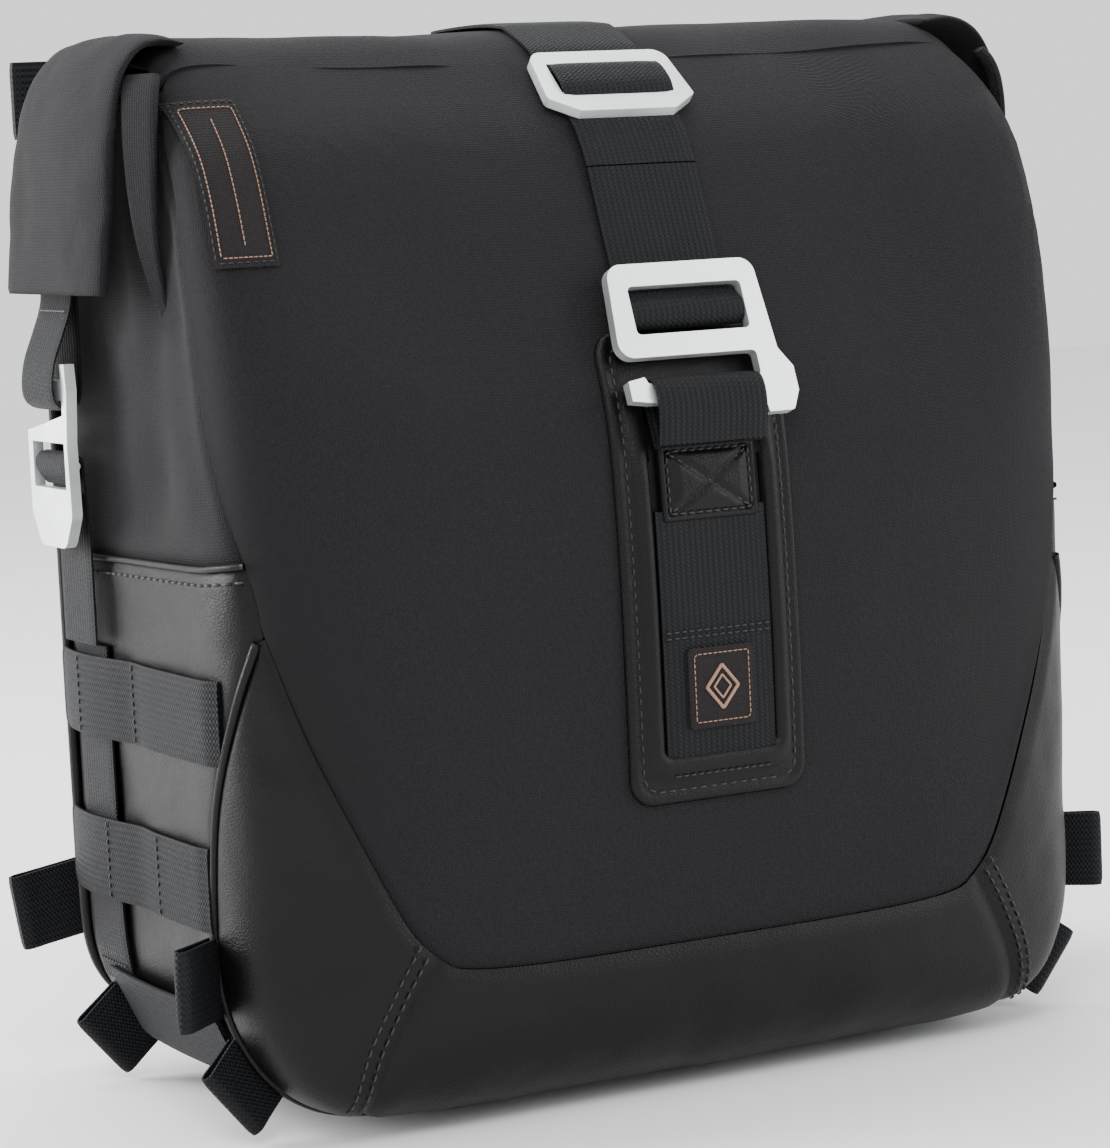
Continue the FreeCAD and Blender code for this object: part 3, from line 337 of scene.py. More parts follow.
def normals_at(p):
    """Outward unit normals of the bag's form at points in mm."""
    step = 0.6
    grads = []
    for axis in np.eye(3):
        grads.append(form(p + axis * step) - form(p - axis * step))
    grad = np.stack(grads, axis=1)
    return grad / np.linalg.norm(grad, axis=1)[:, None]


def lumps(p, size, seed, detail=2):
    """Smooth noise, about -1 to 1, at points in mm."""
    out = np.empty(len(p))
    for i, q in enumerate(p):
        spot = Vector((q[0] / size + seed * 7.3, q[1] / size - seed * 3.1, q[2] / size + seed * 1.7))
        out[i] = noise.fractal(spot, 1.0, 2.0, detail)
    return out


def smooth_curve(points, count):
    """Points along a Catmull-Rom curve through the given ones, evenly spaced."""
    pts = np.array(points, float)
    padded = np.vstack([2 * pts[0] - pts[1], pts, 2 * pts[-1] - pts[-2]])
    dense = []
    for i in range(1, len(padded) - 2):
        a, b, c, d = padded[i - 1:i + 3]
        t = np.linspace(0, 1, 24, endpoint=False)[:, None]
        dense.append(0.5 * (2 * b + (c - a) * t + (2 * a - 5 * b + 4 * c - d) * t ** 2
                            + (3 * b - a - 3 * c + d) * t ** 3))
    dense = np.vstack(dense + [pts[-1:]])
    return evenly(dense, count)


def path_lengths(path):
    """How far along a path each of its points lies."""
    return np.concatenate([[0], np.cumsum(np.linalg.norm(np.diff(path, axis=0), axis=1))])


def evenly(path, count):
    """The path's points, spaced evenly."""
    length = path_lengths(path)
    spots = np.linspace(0, length[-1], count)
    return np.column_stack([np.interp(spots, length, path[:, k]) for k in range(path.shape[1])])


# ================================================================ mesh helpers


def new_object(name, verts, faces, material, cloth=None):
    """A mesh object from points in mm; cloth holds (along, across, third) in metres for each point."""
    mesh = bpy.data.meshes.new(name)
    mesh.from_pydata((np.asarray(verts, float) * MM).tolist(), [], faces)
    mesh.update()
    attribute = mesh.attributes.new("cloth", "FLOAT_VECTOR", "POINT")
    if cloth is None:
        cloth = np.asarray(verts, float) * MM
    attribute.data.foreach_set("vector", np.asarray(cloth, np.float32).ravel())
    mesh.materials.append(MATERIALS[material])
    mesh.polygons.foreach_set("use_smooth", [True] * len(mesh.polygons))
    thing = bpy.data.objects.new(name, mesh)
    bpy.context.scene.collection.objects.link(thing)
    return thing


def grid_faces(rows, columns, closed=False):
    faces = []
    across = columns if closed else columns - 1
    for r in range(rows - 1):
        for c in range(across):
            d = (c + 1) % columns
            faces.append((r * columns + c, r * columns + d, (r + 1) * columns + d, (r + 1) * columns + c))
    return faces


def apply_modifiers(thing):
    """Replaces the object's mesh with its evaluated one, so that no modifier is left."""
    depsgraph = bpy.context.evaluated_depsgraph_get()
    made = bpy.data.meshes.new_from_object(thing.evaluated_get(depsgraph), preserve_all_data_layers=True,
                                           depsgraph=depsgraph)
    thing.modifiers.clear()
    old = thing.data
    thing.data = made
    bpy.data.meshes.remove(old)
    return thing


def thicken(thing, thick, offset=-1.0):
    """Gives a sheet its thickness in mm, inwards by default."""
    solid = thing.modifiers.new("thick", "SOLIDIFY")
    solid.thickness = thick * MM
    solid.offset = offset
    solid.use_even_offset = False
    return apply_modifiers(thing)


def face_outwards(thing):
    work = bmesh.new()
    work.from_mesh(thing.data)
    bmesh.ops.recalc_face_normals(work, faces=work.faces)
    work.to_mesh(thing.data)
    work.free()


def sharpen(thing, degrees=50):
    """Marks steep edges sharp, so that a sheet's rim doesn't bend its shading."""
    work = bmesh.new()
    work.from_mesh(thing.data)
    for edge in work.edges:
        if len(edge.link_faces) == 2 and edge.calc_face_angle(0.0) > math.radians(degrees):
            edge.smooth = False
    work.to_mesh(thing.data)
    work.free()


def squared(value, power):
    """A sine or cosine pushed towards its extremes, which makes a round outline squarer."""
    return math.copysign(abs(value) ** power, value)


def unit(rows):
    return rows / np.maximum(np.linalg.norm(rows, axis=-1, keepdims=True), 1e-9)


def place(thing, body, *stands_for):
    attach(thing, body)
    if stands_for:
        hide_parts(*stands_for)
    return thing


def cloth_lengths(grid):
    """Distances in metres along the rows and the columns of a grid of points in mm."""
    along = np.zeros(grid.shape[:2])
    along[:, 1:] = np.cumsum(np.linalg.norm(np.diff(grid, axis=1), axis=2), axis=1)
    up = np.zeros(grid.shape[:2])
    up[1:] = np.cumsum(np.linalg.norm(np.diff(grid, axis=0), axis=2), axis=0)
    middle = along[:, -1:] / 2
    return np.stack([(along - middle) * MM, up * MM, np.zeros_like(up)], axis=2)


def coons(low, high, left, right):
    """A grid of points spanned by four edge curves; left and right run from low to high."""
    u = np.linspace(0, 1, len(low))[None, :, None]
    v = np.linspace(0, 1, len(left))[:, None, None]
    ruled = (1 - v) * low[None] + v * high[None] + (1 - u) * left[:, None] + u * right[:, None]
    return ruled - ((1 - u) * ((1 - v) * low[0] + v * high[0]) + u * ((1 - v) * low[-1] + v * high[-1]))


def edge_distance(grid, seams):
    """Distance in mm of each grid point from the nearest sewn edge: l, r, b or t."""
    size_x = np.linalg.norm(np.diff(grid, axis=1), axis=2)
    size_y = np.linalg.norm(np.diff(grid, axis=0), axis=2)
    left = np.zeros(grid.shape[:2])
    left[:, 1:] = np.cumsum(size_x, axis=1)
    low = np.zeros(grid.shape[:2])
    low[1:] = np.cumsum(size_y, axis=0)
    found = {"l": left, "r": left[:, -1:] - left, "b": low, "t": low[-1:] - low}
    return np.min([found[key] for key in seams] or [np.full(left.shape, 99.0)], axis=0)


def panel(name, edges, material, seams="lrbt", lift=0.0, thick=1.8, dip=1.3, folds=None):
    """A sheet sewn along some of its edges and shaped on the bag's form."""
    guide = coons(*edges)
    rows, columns = guide.shape[:2]
    points = onto_bag(guide.reshape(-1, 3))
    out = normals_at(points)
    distance = edge_distance(points.reshape(rows, columns, 3), seams).ravel()
    rise = lift - dip * np.exp(-(distance / 2.6) ** 2)
    if folds is not None:
        rise = rise + folds(points) * (1 - np.exp(-(distance / 9.0) ** 2))
    points = points + out * rise[:, None]
    grid = points.reshape(rows, columns, 3)
    faces = grid_faces(rows, columns)
    a, b, c = points[list(faces[len(faces) // 2][:3])]
    if np.dot(np.cross(b - a, c - b), out[faces[len(faces) // 2][0]]) < 0:
        faces = [face[::-1] for face in faces]
    thing = new_object(name, points, faces, material, cloth_lengths(grid).reshape(-1, 3))
    thicken(thing, thick)
    sharpen(thing)
    return thing


def laid(points, count, lift=0.0):
    """A smooth line through guide points, laid on the bag, with its normals."""
    line = onto_bag(smooth_curve(points, count))
    out = normals_at(line)
    return line + out * lift, out


def mirrored(points, sx):
    return [(sx * x, y, z) for x, y, z in points]


# ================================================================ straps, stitches

STRAP_SHARES = np.linspace(-1, 1, 13)


def strap(name, path, across, half, thick, body, stands_for=(), material="webbing"):
    """Woven webbing along a path in mm, with thinner, rounded edges."""
    path = np.asarray(path, float)
    across = unit(np.broadcast_to(np.asarray(across, float), path.shape))
    tangent = unit(np.gradient(path, axis=0))
    up = unit(np.cross(across, tangent))
    edge = 1 - 0.55 * np.abs(STRAP_SHARES) ** 10
    section = [(share, rise) for share, rise in zip(STRAP_SHARES, edge)]
    section += [(share, -rise) for share, rise in reversed(list(zip(STRAP_SHARES, edge)))]
    travelled = path_lengths(path)
    verts = []
    cloth = []
    halves = np.broadcast_to(half, len(path))
    for point, wide, high, s, reach in zip(path, across, up, travelled, halves):
        for share, rise in section:
            verts.append(point + wide * (share * reach) + high * (rise * thick / 2))
            cloth.append((s * MM, share * reach * MM, rise * thick * MM))
    around = len(section)
    faces = grid_faces(len(path), around, closed=True)
    faces.append(tuple(range(around)))
    faces.append(tuple(reversed(range((len(path) - 1) * around, len(path) * around))))
    thing = new_object(name, verts, faces, material, cloth)
    face_outwards(thing)
    sharpen(thing, 60)
    return place(thing, body, *stands_for)


STITCH_SIDES = 6
# along the stitch, height above the sheet and thickness, as shares of its length and its thread
STITCH_SHAPE = [(0.0, -0.45, 0.35), (0.18, 0.12, 0.95), (0.5, 0.26, 1.0), (0.82, 0.12, 0.95),
                (1.0, -0.45, 0.35)]


def stitches(name, runs, body, material="thread", length=3.0, pitch=4.3, radius=0.36):
    """Rows of thread stitches; a run is a line with its normals."""
    verts = []
    faces = []
    for line, out in runs:
        travelled = path_lengths(line)
        for i in range(int((travelled[-1] - length) / pitch) + 1):
            start = i * pitch + (travelled[-1] - length) % pitch / 2
            first = len(verts)
            head = np.array([np.interp(start, travelled, line[:, k]) for k in range(3)])
            tail = np.array([np.interp(start + length, travelled, line[:, k]) for k in range(3)])
            high = unit(np.array([np.interp(start, travelled, out[:, k]) for k in range(3)]))
            side = unit(np.cross(tail - head, high))
            for share, rise, thick in STITCH_SHAPE:
                spot = head + (tail - head) * share + high * rise * radius * 2
                for k in range(STITCH_SIDES):
                    turn = 2 * math.pi * k / STITCH_SIDES
                    verts.append(spot + (side * math.cos(turn) + high * math.sin(turn)) * radius * thick)
            for face in grid_faces(len(STITCH_SHAPE), STITCH_SIDES, closed=True):
                faces.append(tuple(first + v for v in reversed(face)))
            faces.append(tuple(first + k for k in range(STITCH_SIDES)))
            last = first + (len(STITCH_SHAPE) - 1) * STITCH_SIDES
            faces.append(tuple(last + k for k in reversed(range(STITCH_SIDES))))
    thing = new_object(name, verts, faces, material)
    return place(thing, body)


# ================================================================ the bag's panels

MOUTH_SLOPE = 13 / 129


def mouth_z(y):
    return 322 - (82 - y) * MOUTH_SLOPE


SEAM = [(143.5, -17, mouth_z(-17)), (149, -27, 292), (150, -36, 270), (150, -43, 242), (149.5, -50, 208),
        (143, -62, 172), (139.5, -65, 152), (146, -56, 128), (149, -45, 100), (149, -40, 76), (146, -38, 52),
        (138, -41, 31), (124, -44, 14), (106, -45, 4), (92, -45, 1)]
JOIN = 6            # the corner where canvas, cheek and gusset meet
SPLIT = 5           # where the gusset's canvas meets its leather
U_SIDE = [(139.5, -65, 152), (128, -71, 118), (112, -78, 82), (101, -81, 62), (94, -82, 54)]
U_LOW = [(94, -82, 54), (86, -83, 49.5), (60, -84, 47.5), (0, -85, 47)]
MITRE = [(94, -82, 54), (102, -79, 40), (110, -72, 24), (112, -60, 10), (106, -45, 4)]
BACK_SEAM = [(137, 68, 317), (148, 68, 285), (150, 68, 250), (150, 68, 168), (150, 68, 100), (150, 68, 60),
             (140, 68, 28), (120, 66, 12), (92, 64, 9)]


def front_folds(points):
    """Broad slack in the front sheet, flat under the patch."""
    centre = np.exp(-(points[:, 0] / 46.0) ** 4)
    slack = 1.5 * lumps(points, 62, 1, 1) + 0.45 * lumps(points, 27, 2, 1)
    return (slack - 0.3) * (1 - centre)


def gusset_folds(points):
    """Slack canvas on the sides: creases that hang from the rolled end, flat under the strap."""
    under_strap = np.exp(-((points[:, 1] - 42) / 20.0) ** 4)
    squeezed = points * (1.0, 1.0, 0.45)
    slack = 3.4 * lumps(squeezed, 30, 3, 1) + 1.0 * lumps(points, 17, 4, 1)
    pinch = 4.0 * np.exp(-((points[:, 1] + 14) / 8.0) ** 2) * np.clip((points[:, 2] - 215) / 60, 0, 1)
    rise = np.clip(slack - 1.6 - pinch, -6.5, 0.9)
    return rise * (1 - 0.85 * under_strap)


def leather_folds(points):
    return 0.9 * lumps(points, 40, 5) + 0.3 * lumps(points, 16, 6) - 0.3


def curve(points, count, sx=1):
    return smooth_curve(mirrored(points, sx), count)


# Numbers of points along the panels' edges.
ACROSS_FRONT, ALONG_FRONT = 110, 90
TOE_POINTS = (90, 30)
CHEEK_POINTS = (34, 70)
HIDE_POINTS = (56, 90)
SLACK_POINTS = (60, 70)
BASE_POINTS = (60, 40)
BACK_POINTS = 90
SEWN_DIP = 1.5
LEATHER_THICK = 2.2
LEATHER_LIFT = 0.9

top_low = [(-x, y, z) for x, y, z in SEAM[:1]]
top_low += [(-70, -20, mouth_z(-20)), (0, -20.6, mouth_z(-20.6)), (70, -20, mouth_z(-20)), SEAM[0]]
split_line = smooth_curve(top_low, ACROSS_FRONT)
u_low_full = mirrored(U_LOW, -1) + U_LOW[-2::-1]

# Front canvas: its lower edge is the whole U, so the grid's side edges are the upper seams.
u_full = mirrored(U_SIDE, -1) + mirrored(U_LOW, -1)[1:] + U_LOW[-2::-1] + U_SIDE[-2::-1]
front_edges = (smooth_curve(u_full, ACROSS_FRONT), split_line,
               curve(SEAM[JOIN::-1], ALONG_FRONT, -1), curve(SEAM[JOIN::-1], ALONG_FRONT))
front = panel("front_canvas_sheet", front_edges, "canvas", seams="lrb", dip=SEWN_DIP, folds=front_folds)
place(front, "bag", "front_canvas")

toe_low = [(-106, -45, 4), (-50, -44, 0), (0, -43, 0), (50, -44, 0), (106, -45, 4)]
toe_edges = (smooth_curve(toe_low, TOE_POINTS[0]), smooth_curve(u_low_full, TOE_POINTS[0]),
             curve(MITRE[::-1], TOE_POINTS[1], -1), curve(MITRE[::-1], TOE_POINTS[1]))
toe = panel("leather_toe", toe_edges, "leather", lift=LEATHER_LIFT, thick=LEATHER_THICK, dip=SEWN_DIP,
            folds=leather_folds)
place(toe, "bag", "front_leather_bottom")
CHEEK_TIP = [(139.0, -65.4, 151), (140, -64.7, 150.5), (141, -63.9, 150)]
CHEEK_INNER = U_SIDE[::-1][:-1] + CHEEK_TIP[:1]
CHEEK_OUTER = [(106, -45, 4), (124, -44, 14), (138, -41, 31), (146, -38, 52), (149, -40, 76),
               (149, -45, 100), (146, -56, 128)] + CHEEK_TIP[-1:]
GUSSET_LOW = [(92, -45, 1), (91, -20, 0), (90, 20, 0), (91, 50, 3), (92, 64, 9)]
GUSSET_SPLIT = [SEAM[SPLIT], (147.5, -52, 171), (150, -38, 170), (150, 10, 169), (150, 50, 168),
                (150, 68, 168)]
GUSSET_TOP = [SEAM[0], (144, -2, mouth_z(-2)), (145, 30, mouth_z(30)), (143, 55, mouth_z(55)), BACK_SEAM[0]]
SIDES = (("left", -1), ("right", 1))
for side, sx in SIDES:
    edges = (curve(MITRE, CHEEK_POINTS[0], sx), curve(CHEEK_TIP, CHEEK_POINTS[0], sx),
             curve(CHEEK_INNER, CHEEK_POINTS[1], sx), curve(CHEEK_OUTER, CHEEK_POINTS[1], sx))
    cheek = panel(f"leather_cheek_{side}", edges, "leather", seams="lrb", lift=LEATHER_LIFT,
                  thick=LEATHER_THICK, dip=SEWN_DIP, folds=leather_folds)
    place(cheek, "bag", f"front_leather_{side}")
    edges = (curve(GUSSET_LOW, HIDE_POINTS[0], sx), curve(GUSSET_SPLIT, HIDE_POINTS[0], sx),
             curve(SEAM[:SPLIT - 1:-1], HIDE_POINTS[1], sx), curve(BACK_SEAM[:2:-1], HIDE_POINTS[1], sx))
    hide = panel(f"leather_gusset_{side}", edges, "leather", lift=0.3, thick=2.0, dip=1.6,
                 folds=leather_folds)
    place(hide, "bag", f"gusset_leather_{side}")
    edges = (curve(GUSSET_SPLIT, SLACK_POINTS[0], sx), curve(GUSSET_TOP, SLACK_POINTS[0], sx),
             curve(SEAM[SPLIT::-1], SLACK_POINTS[1], sx), curve(BACK_SEAM[3::-1], SLACK_POINTS[1], sx))
    slack = panel(f"canvas_gusset_{side}", edges, "canvas", seams="lrb", lift=-0.5, dip=1.6,
                  folds=gusset_folds)
    place(slack, "bag", f"gusset_canvas_{side}")

base_front = [(-92, -45, 1), (0, -43, 0), (92, -45, 1)]
base_rear = [(-92, 64, 9), (0, 62, 7), (92, 64, 9)]
base_edges = (curve(base_front, BASE_POINTS[0]), curve(base_rear, BASE_POINTS[0]),
              curve(GUSSET_LOW, BASE_POINTS[1], -1), curve(GUSSET_LOW, BASE_POINTS[1]))
base = panel("base_sheet", base_edges, "leather", lift=2.0, thick=3.0)
place(base, "bag", "base_panel")
BACK_TOP_Z = mouth_z(70)
back_top = [(-137, 68, 317), (-70, 70, BACK_TOP_Z), (0, 70, BACK_TOP_Z), (70, 70, BACK_TOP_Z),
            (137, 68, 317)]
back_edges = (smooth_curve(base_rear, BACK_POINTS), smooth_curve(back_top, BACK_POINTS),
              curve(BACK_SEAM[::-1], BACK_POINTS, -1), curve(BACK_SEAM[::-1], BACK_POINTS))
back = panel("back_sheet", back_edges, "canvas", seams="lrb", thick=2.4)
place(back, "bag", "back_panel")

# ================================================================ lid: the rolled closure

# The lid's sheet runs from the mouth over the ridge to the back edge, and its sides drop to the mouth.
lid_back = smooth_curve(back_top, ACROSS_FRONT)
LID_POINTS = 50
lid_side = [SEAM[0], (142, -8, 317), (141, 20, 320), (141, 45, 320), BACK_SEAM[0]]


def lid_folds(points):
    near_strap = np.exp(-(points[:, 0] / 30.0) ** 4)
    return (2.0 * lumps(points, 48, 7, 1) + 0.6 * lumps(points, 22, 8, 1)) * (1 - near_strap)


lid_edges = (split_line, lid_back, curve(lid_side, LID_POINTS, -1), curve(lid_side, LID_POINTS))
lid = panel("top_canvas_sheet", lid_edges, "canvas", seams="", thick=2.0, folds=lid_folds)
place(lid, "roll_top", "top_canvas")


ROLL_COLUMNS, ROLL_POINTS = 40, 150
ROLL_START = 0.28       # the innermost turn's size, as a share of the outermost
ROLL_WAVE, ROLL_WAVELENGTH = 0.25, 17
ROLL_CLOTH_PER_TURN = 0.006


def spiral_roll(name, half, centre, width, height, turns, thick):
    """Canvas rolled flat a few turns, open at its ends."""
    verts = []
    cloth = []
    for x in np.linspace(-half, half, ROLL_COLUMNS):
        for k in range(ROLL_POINTS):
            share = k / (ROLL_POINTS - 1)
            turn = 2 * math.pi * turns * share
            grow = ROLL_START + (1 - ROLL_START) * share
            y = centre[0] + squared(math.cos(turn), 0.7) * width / 2 * grow
            z = centre[1] + math.sin(turn) * height / 2 * grow
            verts.append((x, y, z + ROLL_WAVE * math.sin(x / ROLL_WAVELENGTH + turn)))
            cloth.append((x * MM, turn * ROLL_CLOTH_PER_TURN, 0))
    thing = new_object(name, verts, grid_faces(ROLL_COLUMNS, ROLL_POINTS), "canvas", cloth)
    thicken(thing, thick, 0.0)
    return thing


rolled = spiral_roll("rolled_collar", 137, (29.5, 314.3), 58, 9.5, 2.5, 1.0)
place(rolled, "roll_top", "roll_core")

# Roll ends: the closure's ends folded down over the sides, thick and soft.
END_PATH = [(130, 321.3), (138, 322.3), (145.5, 320), (151.5, 313.5), (155, 303), (156.8, 288), (157.5, 272),
            (158, 258), (158.4, 250.5)]


END_ROWS, END_COLUMNS = 60, 64
# the turned-in lower end: size of each ring and its height above the rim, in mm
END_HOLLOW = ((0.93, -1.6), (0.8, -0.6), (0.7, 5.0), (0.6, 9.0))


def roll_end(side, sx):
    """One end of the roll, folded down over the side; the front edge bows, the rear edge widens."""
    path = smooth_curve(END_PATH, END_ROWS)
    tangent = unit(np.gradient(path, axis=0))
    outward = np.column_stack([-tangent[:, 1], tangent[:, 0]])
    verts = []
    cloth = []
    around = END_COLUMNS
    travelled = path_lengths(path)
    for i, (spot, away) in enumerate(zip(path, outward)):
        down = travelled[i] / travelled[-1]
        front = -13 + 1.5 * down - 5.0 * math.sin(math.pi * min(down * 1.15, 1))
        rear = 44 + 20.5 * down ** 0.8
        thick = 2.2 + 6.2 * math.sin(math.pi * min(down * 0.62 + 0.02, 1)) ** 0.9
        for k in range(around):
            turn = 2 * math.pi * k / around
            c = squared(math.cos(turn), 0.55)
            s = squared(math.sin(turn), 0.75)
            y = (front + rear) / 2 + c * (rear - front) / 2
            spot3 = np.array([spot[0], y, spot[1]])
            wave = 1.2 * noise.fractal(Vector(spot3 / 30) + Vector((sx * 3, 0, 0)), 1.0, 2.0, 3)
            deep = s * thick / 2 + (wave if s > 0 else wave * 0.3)
            verts.append((sx * (spot[0] + away[0] * deep), y, spot[1] + away[1] * deep))
            cloth.append((y * MM, travelled[i] * MM, deep * MM))
    first = len(verts) - around
    ring = np.array(verts[first:])
    middle = ring.mean(axis=0)
    for shrink, drop in END_HOLLOW:
        size = np.array([shrink, 0.75 + shrink / 4])
        for spot, c in zip(ring, cloth[first:first + around]):
            x, y = middle[:2] + (spot[:2] - middle[:2]) * size
            verts.append((x, y, spot[2] + drop))
            cloth.append(c)
    total = len(verts) // around
    faces = grid_faces(total, around, closed=True)
    faces.append(tuple(range(around)))
    faces.append(tuple(reversed(range((total - 1) * around, total * around))))
    thing = new_object(f"roll_end_{side}_flap", verts, faces, "canvas", cloth)
    face_outwards(thing)
    return place(thing, "roll_top", f"roll_end_{side}")


# A fold of the gusset's canvas in front of each roll end, as (x, z).
TUCK = [(146.5, 311.5), (148.2, 308), (149.6, 302), (150.4, 292), (150.2, 279), (148.6, 264), (145, 250),
        (141, 240)]
TUCK_POINTS = 50
for side, sx in SIDES:
    roll_end(side, sx)
    tuck = [(sx * x, -19.5 - 5 * math.sin(i * 0.52), z) for i, (x, z) in enumerate(TUCK)]
    tuck_path = smooth_curve(tuck, TUCK_POINTS)
    narrowing = 7.0 - 5.5 * np.linspace(0, 1, TUCK_POINTS) ** 1.6
    strap(f"roll_tuck_{side}", tuck_path, (0.45 * sx, 1, 0), narrowing, 2.4, "bag", (), "canvas")

# ================================================================ front strap, hook and patch

SLOPE = math.atan2(82, 31)
HOOK_Z = 234.0
HOOK_SPOT = np.array([0.0, -78 + (HOOK_Z - 205) / 82 * 31, HOOK_Z])
LEAN = math.atan2(39, 43)
ADJUSTER_UP = 21        # how far up the slope beside the ridge the adjuster sits
ADJUSTER_SPOT = np.array([0.0, -47 + ADJUSTER_UP * math.cos(LEAN), 287 + ADJUSTER_UP * math.sin(LEAN)])
CENTRE_HALF = 19        # half the centre strap's width
CENTRE_THICK = 1.7
X_AXIS = (1, 0, 0)


def tilted(points, angle, origin):
    """Points (up, out) in a frame tilted about X, as points in mm."""
    points = np.asarray(points, float)
    up = np.array([0, math.cos(angle), math.sin(angle)])
    out = np.array([0, -math.sin(angle), math.cos(angle)])
    return origin + points[:, :1] * up + points[:, 1:] * out


def eye(up_radius, out_radius, start, stop, centre_out, count=16):
    """Part of an ellipse about a pivot bar, as (up, out) points; angles in degrees from out."""
    turns = np.radians(np.linspace(start, stop, count))
    return [(up_radius * math.sin(t), centre_out + out_radius * math.cos(t)) for t in turns]


AHEAD_Y = -200.0
INSIDE_Y, BEFORE_Y = -3.0, -130.0
INSIDE_X, BESIDE_X = 60.0, 190.0


def drop_on_front(x, z):
    """Points of the bag's front face at exact (x, z)."""
    y = crossing(lambda far: np.column_stack([x, far, z]), np.full(len(x), INSIDE_Y), BEFORE_Y)
    return np.column_stack([x, y, z])


def drop_on_side(y, z, sx):
    """Points of the bag's side at exact (y, z)."""
    x = crossing(lambda far: np.column_stack([sx * far, y, z]), np.full(len(y), INSIDE_X), BESIDE_X)
    return np.column_stack([sx * x, y, z])


def on_front(x, z_values, lift):
    z_values = np.asarray(z_values, float)
    line = drop_on_front(np.full(len(z_values), float(x)), z_values)
    return line + normals_at(line) * lift


strap_hem = tilted([(48, 1.4), (30, 1.3), (17, 1.35), (10, 2.0), (5, 2.55)] + eye(4.2, 2.9, 190, 425, 5.6)
                   + [(5.9, 5.2)], SLOPE, HOOK_SPOT)
strap("centre_strap_lower", evenly(strap_hem, 70), X_AXIS, CENTRE_HALF, CENTRE_THICK, "front_strap",
      ["centre_strap_front"])

top_guide = [(0, y, 400) for y in np.linspace(-8, 62, 16)]
on_top = onto_bag(np.array(top_guide))
on_top = on_top + normals_at(on_top) * 1.3
around_ridge = on_front(0, [281, 285.5, 289.5, 293.5], 1.35)
through = tilted([(-8.6, 2.0), (-6.8, 3.6), (-5.8, 5.6), (-2.5, 7.1), (2, 7.2), (6, 6.5), (8.8, 4.4),
                  (10.6, 2.4), (15, 1.7), (21, 1.5)], LEAN, ADJUSTER_SPOT)
start = tilted([(48.4, 1.4)], SLOPE, HOOK_SPOT)
path = smooth_curve(np.vstack([start, around_ridge, through, on_top[1:]]), 170)
strap("centre_strap_upper", path, X_AXIS, CENTRE_HALF, CENTRE_THICK, "roll_top", ["centre_strap_top"])

catch = tilted([(-40.5, 2.6), (-34, 2.7), (-27, 3.0), (-23.2, 3.9), (-21.2, 6.4), (-22.2, 9.3),
                (-25.2, 10.6), (-29, 10.4), (-33, 9.2), (-37, 7.2), (-40.5, 5.4)], SLOPE, HOOK_SPOT)
strap("catch_loop", smooth_curve(catch, 60), X_AXIS, 18.5, 1.6, "bag", ["front_catch_loop"])


def height_piece(name, outline, height, material, stands_for, step=1.0, back=0.15):
    """A piece on the front face whose thickness is a function of (x, z), with rounded outer corners."""
    half, low, high, corner = outline
    rows = int((high - low) / step) + 1
    columns = int(2 * half / step) + 1
    z_values = np.linspace(low, high, rows)
    verts = []
    for z in z_values:
        near = min(z - low, high - z)
        narrow = corner - math.sqrt(max(corner ** 2 - (corner - near) ** 2, 0)) if near < corner else 0
        verts.append([(x, AHEAD_Y, z) for x in np.linspace(-half + narrow, half - narrow, columns)])
    flat = np.array(verts).reshape(-1, 3)
    ground = drop_on_front(flat[:, 0], flat[:, 2])
    out = normals_at(ground)
    rise = height(flat[:, 0], flat[:, 2])
    top = ground + out * rise[:, None]
    base = ground + out * back
    count = len(flat)
    faces = grid_faces(rows, columns)
    ring = list(range(columns)) + [r * columns + columns - 1 for r in range(1, rows)]
    ring += [count - 1 - c for c in range(1, columns)] + [r * columns for r in range(rows - 2, 0, -1)]
    all_faces = faces + [tuple(count + v for v in reversed(f)) for f in faces]
    for a, b in zip(ring, ring[1:] + ring[:1]):
        all_faces.append((b, a, count + a, count + b))
    points = np.vstack([top, base])
    cloth = np.vstack([flat, flat])[:, (2, 0, 1)] * MM
    thing = new_object(name, points, all_faces, material, cloth)
    face_outwards(thing)
    sharpen(thing, 60)
    return place(thing, "bag", *stands_for)


def box_distance(x, z, half, low, high, corner):
    """Signed distance from a rounded rectangle's edge, negative inside."""
    across = np.abs(x) - half + corner
    along = np.abs(z - (low + high) / 2) - (high - low) / 2 + corner
    outside = np.hypot(np.maximum(across, 0), np.maximum(along, 0))
    return outside + np.minimum(np.maximum(across, along), 0) - corner


def hump(value, width):
    return np.exp(-(value / width) ** 2)


# Outlines on the front face: half width, low edge, high edge, corner radius.
PATCH = (30.5, 91, 231, 8)
WINDOW = (19.3, 106, 214, 2)
TACK = (16.5, 174.5, 197.5, 1.5)
EMBLEM = (11.2, 113, 137, 0.8)
PATCH_BORDER = 4.2      # from the patch's edge to its stitches
TUBE = 2.6              # radius of the raised tube round the window


def patch_height(x, z):
    rim = -box_distance(x, z, *PATCH)
    window = box_distance(x, z, *WINDOW)
    edge = np.sqrt(np.clip(1 - (1 - np.clip(rim / 1.5, 0, 1)) ** 2, 0, 1))
    base = 0.3 + 1.5 * edge - 0.45 * hump(rim - PATCH_BORDER, 0.9)
    tube = np.where(window < TUBE, np.sqrt(np.clip(1 - ((TUBE - window) / TUBE) ** 2, 0, 1)),
                    1 - np.clip((window - TUBE) / 6.2, 0, 1) ** 1.5)
    fade = np.clip((212 - z) / 22, 0, 1)
    tube = np.where(window > 0, tube, 0) * fade * np.clip((rim - PATCH_BORDER) / 2.5, 0, 1)
    return base + 2.5 * tube - np.where(window < 0, 0.6, 0)


height_piece("patch_leather", PATCH, patch_height, "leather", ["leather_patch"], step=0.9)


